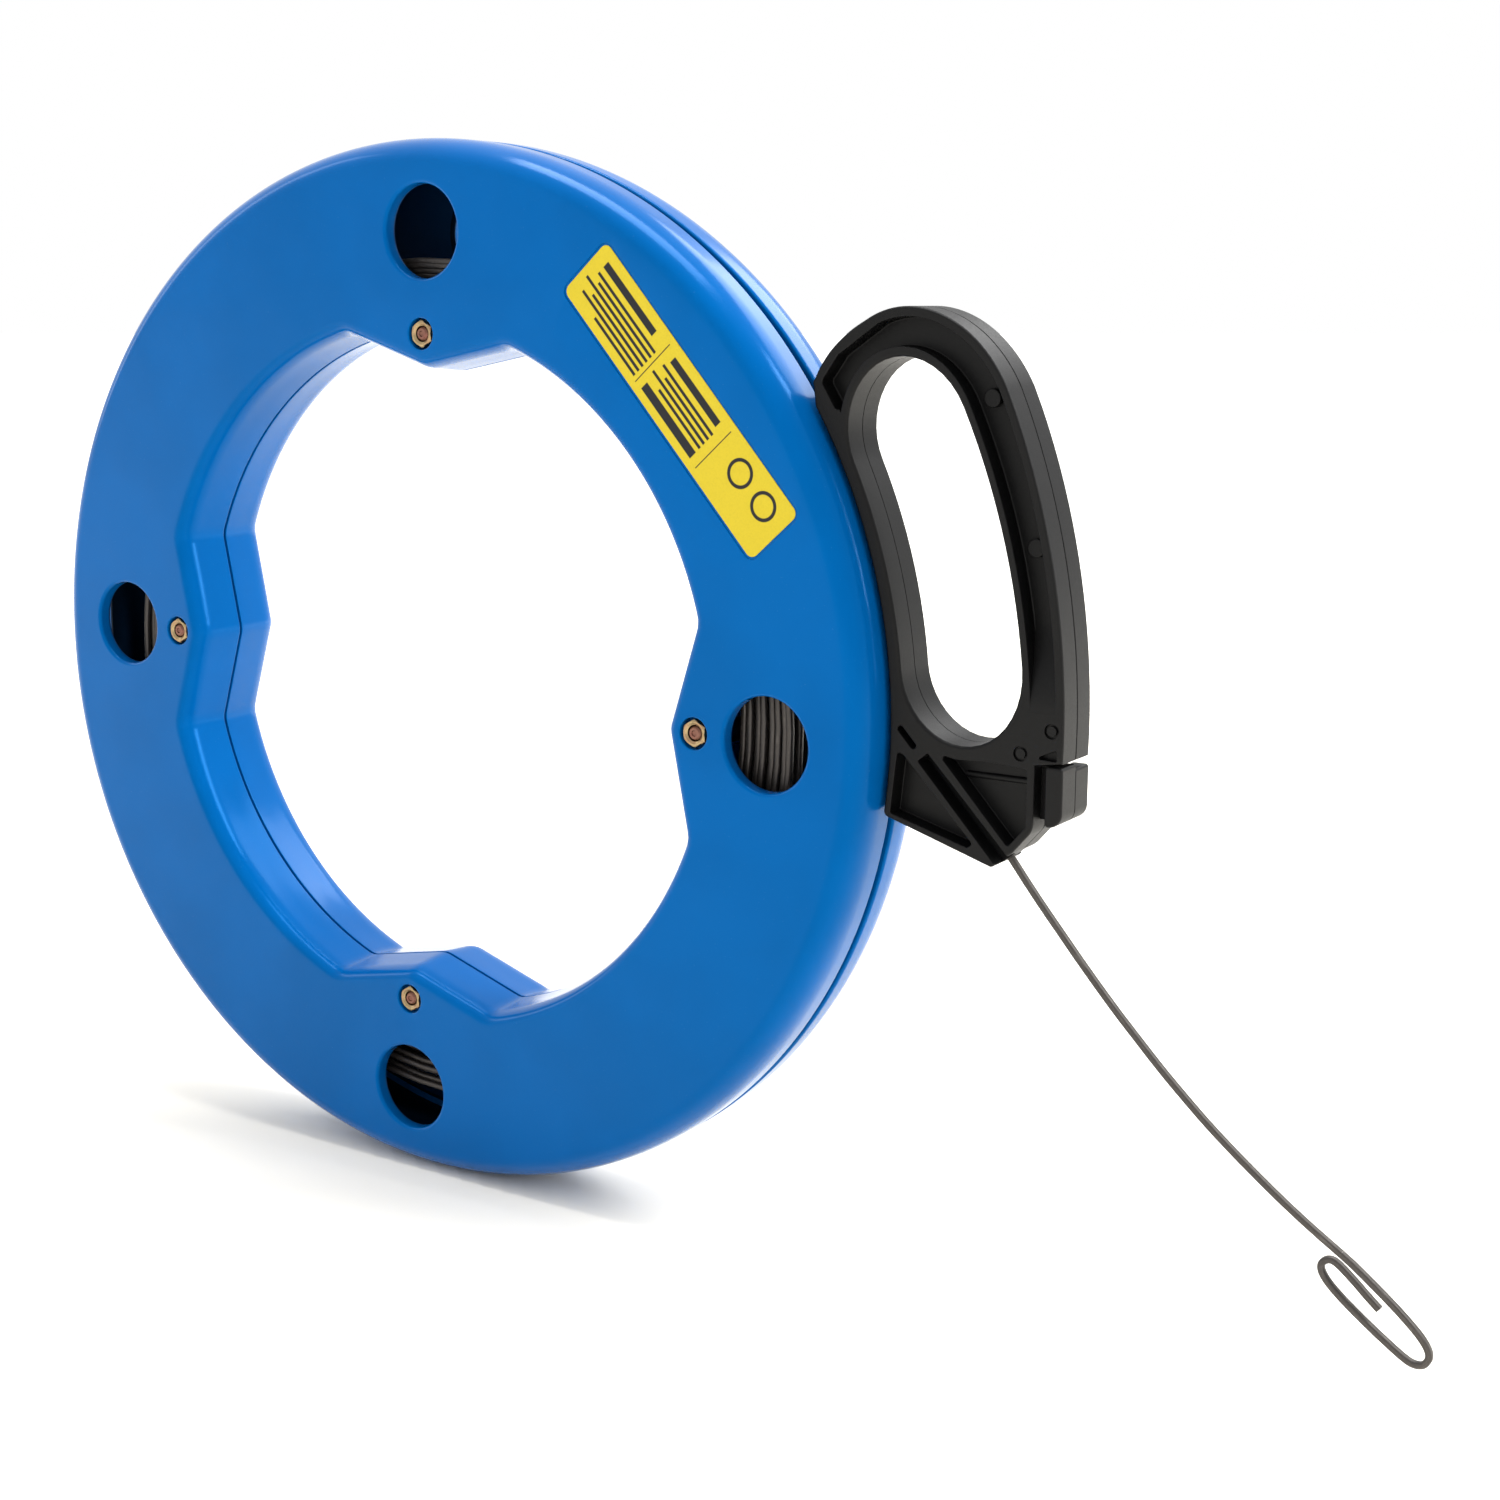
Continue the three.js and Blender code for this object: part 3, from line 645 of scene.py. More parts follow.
def lead_path(direction):
    """The free tape: straight out of the nose, then one smooth curve through its route."""
    route = np.vstack([NOSE - direction * LEAD_INSIDE, NOSE + np.array(LEAD_ROUTE)])
    return lifted(smooth_curve(route, 8))


def eye_path():
    """The bent eye: one smooth curve through its route, from the end of the free tape."""
    return smooth_curve(EYE_ROUTE, 8) + lifted([NOSE + LEAD_ROUTE[-1]])


def feed_path(direction, tangent_run, coil_radius, thickness):
    """The straight run from clear of the coil to the start of the free tape."""
    clear = coil_radius + HAIRLINE + thickness / 2
    start = tangent_run - math.sqrt(clear**2 - (coil_radius - thickness / 2) ** 2)
    steps = np.linspace(-start, -LEAD_INSIDE - HAIRLINE, 24)[:, None]
    return lifted(NOSE + direction * steps)


def eased(share):
    """A smooth step from 0 to 1."""
    return share * share * (3 - 2 * share)


def coil_path(turns, coil_radius, half_width, width, thickness, start_angle):
    """The wound tape, from the inside out: each turn has its own radius and place along the axis, and
    wanders a little as loose turns do; the last ends where the straight run begins."""
    steps = 72
    inner, outer = COIL_RADII[0] + thickness / 2, COIL_RADII[1] - thickness / 2
    end_radius, half = coil_radius - thickness / 2, half_width - width / 2
    turn = np.arange(turns * steps + 1) / steps
    angle = start_angle + TURN * turn
    rng = np.random.default_rng(7)
    layers = math.ceil((turns + 1) / COIL_LANES)
    whole = np.arange(turns + 2)
    layer, lane = whole // COIL_LANES, whole % COIL_LANES
    lane = np.where(layer % 2 == 0, lane, COIL_LANES - 1 - lane)
    pitch = (outer - inner) / (layers - 1.3)
    radius = inner + pitch * (layer + 0.5 * (lane % 2)) + rng.uniform(-0.15, 0.5, len(whole))
    axial = (lane - (COIL_LANES - 1) / 2) * 2 * half / (COIL_LANES - 1) + rng.uniform(-0.9, 0.9, len(whole))
    radius = np.clip(radius, inner, outer - 0.05)
    radius[turns - 1 :] = outer
    axial[turns:] = 0.0
    # Along a turn the tape passes smoothly from its own place to the next turn's place.
    place = np.minimum(turn.astype(int), turns)
    share = turn - place
    ease = eased(share)
    r = radius[place] * (1 - ease) + radius[place + 1] * ease
    y = axial[place] * (1 - ease) + axial[place + 1] * ease
    r = np.clip(r + np.sin(angle * 2 + place * 1.7) * 0.25 * np.sin(math.pi * share), inner, outer)
    y = np.clip(y, -half, half)
    # The outer turns hang lower than the inner ones, but the last comes back to where the straight run begins.
    back = eased(np.clip(turn - (turns - 1), 0, 1))
    r = r * (1 - back) + end_radius * back
    slack = np.clip((r - COIL_RADII[0]) / (COIL_RADII[1] - COIL_RADII[0]), 0, 1)
    x, z = r * np.cos(angle), r * np.sin(angle) - COIL_SAG * slack * (1 - back)
    # Near the middle plane no turn reaches out to the straight run, however the case is turned.
    most = end_radius + 6 * np.maximum(np.abs(y) - width - 0.2, 0)
    held = np.minimum(1, most / np.hypot(x, z))
    return np.stack([x * held, y, z * held], -1)


def steel_sheet(name, tone, dark):
    """Oiled spring steel: fine drawn grain along the tape, soft blotches of oil and a few brighter rubs; dark scales
    the whole colour, and a share below 1 is painted shade.
    """
    sheet = Sheet(name, Metallic=0.75, IOR=1.6)
    lay = sheet.attribute("lay")
    grain = sheet.noise(sheet.about(lay, (0, 0, 0), (0.35, 2.2, 2.2)), 3.0, 4.0, 0.6)
    blotch = sheet.noise(sheet.about(lay, (0, 0, 0), (0.09, 0.6, 0.6)), 2.0, 3.0, 0.55)
    base = sheet.mix(grain.rises(0.35, 0.7), colour(tone, dark * 0.7), colour(tone, dark))
    rubbed = sheet.mix(blotch.rises(0.56, 0.72) * 0.6, base, colour(tone, dark * 1.7))
    sheet.feed("Base Color", rubbed)
    sheet.feed("Roughness", 0.34 + grain * 0.2)
    sheet.feed("Normal", sheet.bump(grain, 0.00004, 0.5))
    return sheet


class REEL_OT_tape(bpy.types.Operator):
    """Makes the tape: the free lead and its eye, the straight run inside and the wound coil"""

    bl_idname = "reel.tape"
    bl_label = "Tape"

    def execute(self, context):
        tape = context.scene.reel_tape
        width, thickness, coil_radius = tape.width / MM, tape.thickness / MM, tape.coil_radius / MM
        direction, tangent_run = tape_line(coil_radius, thickness)
        steel = steel_sheet("oiled_steel", tape.steel, 1.0)

        path = lead_path(direction)
        lead, lead_length = swept("steel_lead", path, width, thickness)
        eye, eye_length = swept("steel_eye", eye_path(), width, thickness)
        feed, _ = swept("steel_feed", feed_path(direction, tangent_run, coil_radius, thickness), width, thickness)
        for piece, node in ((lead, "tape_lead"), (eye, "tape_eye"), (feed, "tape_feed")):
            wear(piece, node, steel, "tape")

        low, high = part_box("tape_coil")
        half_width = (high[1] - low[1]) / MM / 2 + COIL_SPREAD
        touch = math.atan2(*(NOSE - direction * tangent_run)[::-1])
        turns = coil_path(tape.turns, coil_radius, half_width, width, thickness, touch)
        coil, coil_length = swept("steel_coil", turns, width, thickness)
        # The coil's copy of the steel is made darker as painted shade, for the coil that lies inside the case.
        wear(coil, "tape_coil", steel_sheet("coil_steel_painted_shade", tape.steel, 0.9), "case")
        print(f"tape: lead {lead_length:.1f} mm, eye {eye_length:.1f} mm, coil {coil_length / 1000:.2f} m")
        return {"FINISHED"}


# ---------------------------------------------------------------- case


SHELL_WALL = 2.4
RIM_ROUND = (7.2, 10.8)  # radial, axial
RIM_SLOT = 3.2
RIM_LIPS = (0.3, 0.9)  # rounding of the slot's edge: front shell, rear shell
BORE_ROUND = (4.6, 7.6)
BORE_DRAFT = 0.9
BORE_SEAM = 0.8
BUMPS = 4
BUMP_TURN = -3.5
BUMP_HALF = 17.3
BUMP_TIP, BUMP_ROOT = 7.0, 5.0
BOLT_SETBACK = 1.3  # of the bolts' circle, inside the bore's radius
POST_RADIUS = 6.2
POST_END = 0.15  # from the middle plane
WINDOW_SETBACKS = (31.4, 26.0)  # inside the rim
WINDOW_TURN = -3.2
WINDOW_COLLAR = (1.8, 4.1)  # wall, depth
WINDOW_EDGE = 1.1
NUT_RECESS = (4.5, 3.3)  # radius, depth
HEAD_RECESS = (4.7, 2.9)
BOLT_HOLE = 2.3
LABEL_SETBACK = 27.8
LABEL_TURN = 41.1
LABEL_CORNER = 2.2
LABEL_MARGIN = 0.7
LABEL_RECESS = 0.4
LABEL_FILM = 0.2


def bore_outline(settings):
    """Outline of the central hole: arcs between four bumps shaped like a blunt V."""
    radius = settings.bore_radius / MM
    pitch = 360 / BUMPS
    corners, radii = [], []
    for i in range(BUMPS):
        middle = BUMP_TURN + i * pitch
        corners.append(polar(radius - settings.bump_height / MM, middle)[None])
        corners.append(polar(radius, np.linspace(middle + BUMP_HALF, middle + pitch - BUMP_HALF, 33)))
        radii += [BUMP_TIP, BUMP_ROOT] + [0] * 31 + [BUMP_ROOT]
    return rounded(np.vstack(corners), radii, 10)


def resampled(outline, steps):
    """The closed outline with points spaced evenly along it."""
    closed = np.vstack([outline, outline[:1]])
    run = np.concatenate([[0], np.cumsum(np.hypot(*np.diff(closed, axis=0).T))])
    at = np.linspace(0, run[-1], steps, endpoint=False)
    return np.stack([np.interp(at, run, closed[:, k]) for k in (0, 1)], -1)


def shell_profile(radius, half, side):
    """Rows of a shell's section, as (growth of the bore, radius, share, y): share 0 lies on the bore's
    outline, 1 on a circle of the radius, and between them in proportion. Rounded edges are quarters of
    an ellipse."""
    t = np.linspace(0, math.pi / 2, 9)
    seam, slot = BORE_SEAM / 2, RIM_SLOT / 2
    lip = RIM_LIPS[0 if side < 0 else 1]
    low, turn = half - BORE_ROUND[1], half - RIM_ROUND[1]
    flat, wall = radius - RIM_ROUND[0], radius - SHELL_WALL
    draft = BORE_ROUND[0] - BORE_DRAFT
    bore = (BORE_ROUND[0] - SHELL_WALL / 2, BORE_ROUND[1] - SHELL_WALL)
    inner = (RIM_ROUND[0] - SHELL_WALL / 2, RIM_ROUND[1] - SHELL_WALL)
    rows = [(0.35, 0, 0, seam), (0.1, 0, 0, seam + 0.12), (0, 0, 0, seam + 0.4), (0.5, 0, 0, low * 0.6)]
    rows += [(BORE_ROUND[0] - draft * math.cos(a), 0, 0, low + BORE_ROUND[1] * math.sin(a)) for a in t]
    rows += [(BORE_ROUND[0], flat, share, half) for share in (0.02, 0.5, 0.98)]
    for a in np.linspace(0, math.pi / 2, 15):
        rows.append((0, flat + RIM_ROUND[0] * math.sin(a), 1, turn + RIM_ROUND[1] * math.cos(a)))
    rows += [(0, radius - lip * (1 - math.cos(a)), 1, slot + lip * (1 - math.sin(a))) for a in QUARTER]
    rows += [(0, wall, 1, slot)]
    rows += [(0, wall - inner[0] * (1 - math.cos(a)), 1, turn + inner[1] * math.sin(a)) for a in t[::2]]
    rows += [(SHELL_WALL + bore[0], wall - inner[0], 0.5, half - SHELL_WALL)]
    rows += [(SHELL_WALL + bore[0] * (1 - math.cos(a)), 0, 0, low + bore[1] * math.sin(a)) for a in t[::-2]]
    rows += [(SHELL_WALL, 0, 0, seam)]
    return rows


def shell_mesh(name, settings, side):
    """One half of the case before anything is cut in it: the section's rows carried round the bore's
    outline on one side and round the rim on the other."""
    radius, half = settings.radius / MM, settings.thickness / MM / 2
    bore = resampled(bore_outline(settings), 400)
    turn = np.arctan2(bore[:, 1], bore[:, 0])[:, None]
    rim = np.concatenate([np.cos(turn), np.sin(turn)], -1)
    loops = [
        lifted(moved_out(bore, grow) * (1 - share) + reach * rim * share, side * y)
        for grow, reach, share, y in shell_profile(radius, half, side)
    ]
    return mesh_object(name, np.vstack(loops), grid_faces(len(loops), len(bore), True, True))


def bolt_places(settings):
    """Places on the bolts' circle, one on each bump."""
    return polar(settings.bore_radius / MM - BOLT_SETBACK, BUMP_TURN + np.arange(BUMPS) * 360 / BUMPS)


def window_places(settings):
    """Places of the windows, on two circles in turn."""
    radii = settings.radius / MM - np.resize(WINDOW_SETBACKS, BUMPS)
    return polar(radii, WINDOW_TURN + np.arange(BUMPS) * 360 / BUMPS)


def label_outline(case, label, margin):
    """A rounded rectangle that lies across the radius at the label's angle."""
    wide, long = label.width / MM / 2 + margin, label.length / MM / 2 + margin
    outline = rounded([(-wide, -long), (wide, -long), (wide, long), (-wide, long)], LABEL_CORNER + margin)
    out, along = case.radius / MM - LABEL_SETBACK + outline[:, 0], outline[:, 1]
    cosine, sine = math.cos(math.radians(LABEL_TURN)), math.sin(math.radians(LABEL_TURN))
    return np.stack([out * cosine - along * sine, out * sine + along * cosine], -1)


def case_shell(name, case, label, side):
    """One shell: the swept half with its posts and window collars, then the windows, the recesses for
    nuts or heads, the label's recess and the bolt holes cut in it."""
    face, window = side * case.thickness / MM / 2, case.window_radius / MM
    bolts, windows = bolt_places(case), window_places(case)
    inwards, collar_end = face - side * SHELL_WALL / 2, face - side * WINDOW_COLLAR[1]
    obj = shell_mesh(name, case, side)
    posts = [prism(disc(POST_RADIUS, x, z), [(0, inwards), (0, side * POST_END)]) for x, z in bolts]
    collar_rings = [(0, inwards), (0, collar_end)]
    add(obj, *posts, *[prism(disc(window + WINDOW_COLLAR[0], x, z, 72), collar_rings) for x, z in windows])
    recess_radius, recess_depth = NUT_RECESS if side < 0 else HEAD_RECESS
    window_rings = sunk_rings(face, collar_end - side, WINDOW_EDGE)
    recess_rings = sunk_rings(face, face - side * recess_depth, 0.4, 0.3)
    cuts = [prism(disc(window, x, z, 96), window_rings) for x, z in windows]
    cuts += [prism(disc(recess_radius, x, z), recess_rings) for x, z in bolts]
    if side < 0:
        cuts.append(prism(label_outline(case, label, LABEL_MARGIN), sunk_rings(face, face - side * LABEL_RECESS, 0.2)))
    cut(obj, *cuts)
    cut(obj, *[prism(disc(BOLT_HOLE, x, z), [(0, 0), (0, 2 * face)]) for x, z in bolts])
    finish_surface(obj, 40)
    return obj


def case_plastic(name, case):
    """Glossy moulded plastic: a very shallow ripple in the face, a fine grain, specks of dust, and painted
    shade: the inner wall is coloured nearly black where little light would reach it."""
    sheet = Sheet(name, IOR=1.33, Specular_IOR_Level=0.6, Specular_Tint=(0.04, 0.4, 1.0, 1.0))
    place = sheet.place()
    x, y, z = sheet.parts(place)
    reach = (x * x + z * z) ** 0.5
    depth = case.thickness / MM / 2 - y.absolute()
    bore, rim = case.bore_radius / MM + 3.8, case.radius / MM - RIM_ROUND[0]
    # Painted shade covers the inner wall at more than a shell's depth from the face; the rim's curve and the windows'
    # lips stay plain.
    within_rim = (rim + (RIM_ROUND[0] - SHELL_WALL + 0.8) * depth.rises(2.6, 5.0) - reach).rises(0, 0.2)
    lip = case.window_radius / MM + 0.7
    from_window = 999.0
    for window_x, window_z in window_places(case).tolist():
        from_window = (((x - window_x) ** 2 + (z - window_z) ** 2) ** 0.5).least(from_window)
    # Painted shade mask: where the inner wall is coloured nearly black, as if in shadow.
    inside = (depth.rises(1.9, 2.6) * from_window.rises(lip, lip + 0.4)).most(depth.rises(3.2, 4.2))
    inside = inside * reach.rises(bore, bore + 0.2) * within_rim
    ripple = sheet.noise(place, 0.03, 2.0, 0.4)
    fine = sheet.noise(place, 0.9, 3.0, 0.6)
    specks = sheet.noise(place, 1.7, 1.0, 0.5).rises(0.74, 0.78)
    base = sheet.mix(ripple.rises(0.35, 0.7) * 0.7, colour(case.plastic), colour(case.plastic, 0.86))
    base = sheet.mix(specks * 0.06, base, colour((0.2, 0.4, 0.6)))
    # Painted shade: the inside mask darkens the blue to nearly black.
    base = sheet.mix(inside, base, colour((0.0004, 0.0008, 0.003)))
    sheet.feed("Base Color", base)
    sheet.feed("Roughness", 0.14 + fine * 0.05 + specks * 0.1 + inside * 0.5)
    sheet.feed("Normal", sheet.bump(fine, 0.00001, 0.2, sheet.bump(ripple, 0.0012, 0.35)))
    return sheet


class REEL_OT_case(bpy.types.Operator):
    """Makes the two shells of the case"""

    bl_idname = "reel.case"
    bl_label = "Case"

    def execute(self, context):
        scene = context.scene
        plastic = case_plastic("case_plastic_blue", scene.reel_case)
        for name, node, side in (("front_cover", "case_front_shell", -1), ("rear_cover", "case_rear_shell", 1)):
            obj = case_shell(name, scene.reel_case, scene.reel_label, side)
            wear(obj, node, plastic, "case")
        return {"FINISHED"}


# ---------------------------------------------------------------- label


# Each bar is (middle across, half width, middle along, half length); each ring (across, along, radius, half line).
LABEL_BARS = [
    (5.6, 1.1, 30.0, 12.0), (2.4, 0.45, 28.0, 14.0), (0.6, 0.45, 27.0, 13.0), (-1.2, 0.45, 29.0, 15.0),
    (-3.0, 0.45, 26.5, 12.5), (-4.8, 0.45, 28.0, 14.0), (-6.6, 0.45, 24.0, 10.0), (5.6, 1.1, -2.0, 11.0),
    (2.4, 0.45, -2.0, 12.0), (0.6, 0.45, -3.5, 10.5), (-1.2, 0.45, -1.5, 12.5), (-3.0, 0.45, -4.0, 10.0),
    (-6.0, 1.3, -2.0, 12.0), (0.0, 7.6, 12.6, 0.15), (0.0, 7.6, -17.0, 0.15),
]  # fmt: skip
LABEL_RINGS = [(2.6, -27.0, 3.6, 0.5), (2.6, -38.0, 3.6, 0.5)]


def label_film(case, label):
    """Glossy printed film. The print is only dark bars and blocks across the strip, in the sticker's own
    coordinates: u across it, away from the middle of the case, and w along it."""
    sheet = Sheet("label_film_print", IOR=1.5, Specular_IOR_Level=0.2)
    place = sheet.place()
    x, _, z = sheet.parts(place)
    turn = math.radians(LABEL_TURN)
    u = x * math.cos(turn) + z * math.sin(turn) - (case.radius / MM - LABEL_SETBACK)
    w = z * math.cos(turn) - x * math.sin(turn)

    def band(distance, half):
        return distance.absolute().falls(half - 0.12, half + 0.12)

    def bar(u_middle, u_half, w_middle, w_half):
        return band(u - u_middle, u_half) * band(w - w_middle, w_half)

    def ring(u_middle, w_middle, radius, line):
        return band(((u - u_middle) ** 2 + (w - w_middle) ** 2) ** 0.5 - radius, line)

    ink = 0.0
    for mark in LABEL_BARS:
        ink = bar(*mark).most(ink)
    for mark in LABEL_RINGS:
        ink = ring(*mark).most(ink)
    wornness = sheet.noise(place, 1.6, 3.0, 0.65)
    film = sheet.mix(wornness.rises(0.4, 0.75) * 0.35, colour(label.film), colour(label.film, 0.8))
    inked = ink * (1.0 - wornness.rises(0.72, 0.8) * 0.35)
    sheet.feed("Base Color", sheet.mix(inked, film, colour(label.ink)))
    sheet.feed("Roughness", 0.32 + wornness * 0.16)
    sheet.feed("Normal", sheet.bump(wornness, 0.00003, 0.3))
    return sheet


class REEL_OT_label(bpy.types.Operator):
    """Makes the sticker on the front of the case"""

    bl_idname = "reel.label"
    bl_label = "Label"

    def execute(self, context):
        case, label = context.scene.reel_case, context.scene.reel_label
        seat = -case.thickness / MM / 2 + LABEL_RECESS
        points, faces = prism(label_outline(case, label, 0.0), slab_rings(seat - LABEL_FILM, seat, 0.06))
        obj = mesh_object("printed_label", points, faces)
        finish_surface(obj, 40)
        wear(obj, "label", label_film(case, label), "case")
        return {"FINISHED"}


# ---------------------------------------------------------------- fasteners


NUT_FLATS, NUT_HEIGHT = 7.0, 3.0
BOLT_RADIUS, BOLT_END = 2.0, 0.5
HEAD_RADIUS, HEAD_HEIGHT = 3.8, 2.5
SCREW_RADIUS, SCREW_HEAD_RADIUS, SCREW_HEAD_HEIGHT = 1.45, 2.6, 1.8
SCREW_HEAD_BASE = 4.4


def hexagon_nut(name, x, z, face):
    """A chamfered nut: at each height the hexagon's radius is limited by the chamfer's cone, and the
    thread's mouth is countersunk."""
    turn = np.arange(96) * TURN / 96
    flat = NUT_FLATS / 2 / np.cos((turn + math.pi / 6) % (math.pi / 3) - math.pi / 6)
    heights = np.array([0, 0.12, 0.24, 0.36, 0.5, *(NUT_HEIGHT - np.array([0.5, 0.36, 0.2, 0]))])
    cone = NUT_FLATS / 2 * 0.97 + 1.75 * np.minimum(heights, NUT_HEIGHT - heights)
    rows = [(np.minimum(flat, limit), height) for limit, height in zip(cone, heights)]
    inner = [(BOLT_RADIUS + 0.95, NUT_HEIGHT), (BOLT_RADIUS + 0.3, NUT_HEIGHT - 0.5), (BOLT_RADIUS + 0.3, 0)]
    rows += [(np.full(len(turn), r), height) for r, height in inner]
    seat = -face + NUT_RECESS[1]
    loops = [lifted(np.stack([x + r * np.cos(turn), z + r * np.sin(turn)], -1), seat - h) for r, h in rows]
    obj = mesh_object(name, np.vstack(loops), grid_faces(len(rows), len(turn), True, True))
    finish_surface(obj, 30)
    return obj


def cross_recess(x, y, z, size, depth, turn):
    """Two tapered bars that cut a cross in a screw's head."""
    bars = []
    for quarter in (0, 90):
        along, across = polar(1, turn + quarter), polar(1, turn + quarter + 90)
        rings = []
        for share, level in ((1.0, 0.5), (0.55, -depth)):
            reach, half = size * share, size * 0.17
            plan = [along * reach + across * half, -along * reach + across * half]
            plan += [-along * reach - across * half, along * reach - across * half]
            rings.append([(x + p[0], y + level, z + p[1]) for p in plan])
        bars.append(swept_ring(rings))
    return bars


def pan_screw(name, x, z, seat, end, body, head, turn, tip):
    """A pan-head screw along Y whose head stands on the seat and whose body ends at y = end; a bolt's tip
    has a dimple, a screw's a blunt cone."""
    head_radius, head_height = head
    shoulder = end + (0.5 if tip else 0.9)
    profile = [(0, end + 0.45 if tip else end)]
    profile += [(0.7, end + 0.3), (0.85, end), (body - 0.5, end)] if tip else [(body * 0.4, end + 0.05)]
    profile += [(body, shoulder), (body, seat), (head_radius - 0.15, seat), (head_radius, seat + 0.2)]
    crown = np.linspace(0, math.pi / 2, 7)
    low = seat + head_height * 0.5
    profile += [(head_radius * (0.55 + 0.45 * math.cos(a)), low + head_height * 0.5 * math.sin(a)) for a in crown]
    profile += [(0, seat + head_height)]
    obj = mesh_object(name, *turned(profile, x, z))
    for bar in cross_recess(x, seat + head_height, z, head_radius * 0.62, head_height * 0.55, turn):
        cut(obj, bar)
    finish_surface(obj, 35)
    return obj


def plated_steel(name, tone, roughness):
    """Plated steel: a soft drift between two tints of the plating, and grime in small pits that also roughens and bumps
    the surface.
    """
    sheet = Sheet(name, Metallic=1.0)
    place = sheet.place()
    drift = sheet.noise(place, 0.5, 2.0, 0.5)
    grime = sheet.noise(place, 2.4, 4.0, 0.65)
    base = sheet.mix(drift.rises(0.4, 0.65), colour(tone), colour((tone[0], tone[1] * 0.86, tone[2] * 0.9)))
    base = sheet.mix(grime.rises(0.55, 0.75) * 0.7, base, colour(tone, 0.28))
    sheet.feed("Base Color", base)
    sheet.feed("Roughness", roughness + grime * 0.22)
    sheet.feed("Normal", sheet.bump(grime, 0.00003, 0.5))
    return sheet


class REEL_OT_fasteners(bpy.types.Operator):
    """Makes the nuts, bolts and screws"""

    bl_idname = "reel.fasteners"
    bl_label = "Fasteners"

    def execute(self, context):
        case = context.scene.reel_case
        face = case.thickness / MM / 2
        zinc = plated_steel("yellow_zinc", (0.36, 0.27, 0.145), 0.24)
        dark_zinc = plated_steel("dark_zinc", (0.20, 0.10, 0.075), 0.3)
        steel = plated_steel("bright_screw_steel", (0.36, 0.35, 0.33), 0.28)
        seat, head = face - HEAD_RECESS[1], (HEAD_RADIUS, HEAD_HEIGHT)
        for i, (x, z) in enumerate(bolt_places(case), 1):
            nut = hexagon_nut(f"hexagon_nut_{i}", x, z, face)
            wear(nut, f"case_nut_{i}", zinc, "case")
            bolt = pan_screw(f"pan_bolt_{i}", x, z, seat, BOLT_END - face, BOLT_RADIUS, head, 20 * i, True)
            wear(bolt, f"case_bolt_{i}", dark_zinc, "case")
        head = (SCREW_HEAD_RADIUS, SCREW_HEAD_HEIGHT)
        for i, (along, rise, in_pocket) in enumerate(GRIP_SCREWS, 1):
            x, z = on_rim([(along, rise)], case.radius / MM)[0]
            reach = SCREW_REACH[in_pocket]
            screw = pan_screw(f"pan_screw_{i}", x, z, SCREW_HEAD_BASE, -reach, SCREW_RADIUS, head, 31 * i, False)
            wear(screw, f"grip_screw_{i}", steel, "handle")
        return {"FINISHED"}


# ---------------------------------------------------------------- grip


GRIP_SEAM = 0.3
GRIP_LIFT = 1.4
GRIP_FLOOR = 2.6
OPEN_START, OPEN_END, OPEN_INNER, OPEN_OUTER = -2.4, 85.9, 5.0, 39.8
OPEN_RADIUS, OPEN_RISE = (OPEN_OUTER - OPEN_INNER) / 2, (OPEN_OUTER + OPEN_INNER) / 2
BAND = 12.4
ARCH_ALONG, ARCH_RISE, ARCH_RADIUS = 67.0, 24.4, 28.6
FOOT_CLEARANCE, FOOT_HEIGHT, FOOT_HALF, NECK_CLEARANCE = 0.6, 2.6, 5.0, 0.4
FOOT_SPANS = [(-19, -3), (21, 80)]
PARK_SLOT, PARK_WIDTH, PARK_HEIGHT, PARK_CORNER, PARK_WEB = 3.0, 4.8, 15.6, 3.8, 3.5
PARK_GAPS = (1.0, 2.2)  # front, rear
GRIP_SCREWS = [(-2.2, 39.4, False), (2.9, 47.9, False), (38, 46.5, True), (68, 46.5, True)]
SCREW_REACH = (5.6, 3.4)  # past the middle plane: in the solid parts, in the pocket
SCREW_HOLE, SCREW_RECESS = 1.75, 2.9
BOSS_RADIUS, BOSS_TIP, BOSS_DEPTH = 3.3, 2.4, 4.4
RAMP = (6.5, 24.0)  # where the pocket's floor leaves the face, and where it reaches its full depth
GRIP_END = -3.3
CHIN_HIGH = (-4.3, 43.4)
LOWER_BODY = [(-23.6, GRIP_LIFT), (-27.6, 34.6), (-23.1, 39.7), (-17.5, 44.4), CHIN_HIGH]
RIDGE_PLACE, RIDGE_HALF, RIDGE_RADIUS = (-8.9, 32.2), 10, 0.9
CHANNEL_REACH, CHANNEL_CLEARANCE = (-62, 8), (0.4, 0.3)  # behind and before the nose; in the plane and along the axis
# Corners, radius of the corners, and depth from the face, or None down to the pocket's floor.
BODY_POCKETS = [
    ([(-6, 3.8), (-22.4, 3.4), (-25, 27), (-23.8, 28.4), (-6.7, 5.8)], 0.7, None),
    ([(-7.5, 10), (-5.2, 12.8), (-25.4, 40.9), (-27.8, 37.4)], 0.4, None),
    ([(-4.9, 16), (-22.1, 38.2), (-17.1, 42.4), (-5.2, 41.4), (-5, 30), (-5.6, 21)], 0.7, None),
    ([(1.2, 4.6), (0, 3.4), (-5, 8.4), (-3.8, 9.6)], 0.8, None),
    ([(-2.8, 43.4), (-0.6, 49.4), (-3, 49.4)], 0.4, 2.0),
]


def slot_outline():
    """The opening for the fingers: two half-round ends and sides that follow the rim."""
    low, high = OPEN_START + OPEN_RADIUS, OPEN_END - OPEN_RADIUS
    between = np.linspace(low, high, 14)[1:-1]
    inner = np.stack([between, np.full(12, OPEN_INNER)], -1)
    outer = np.stack([between[::-1], np.full(12, OPEN_OUTER)], -1)
    start, end = arc(low, OPEN_RISE, OPEN_RADIUS, 90, 270, 20), arc(high, OPEN_RISE, OPEN_RADIUS, -90, 90, 20)
    return np.vstack([start, inner, end, outer])


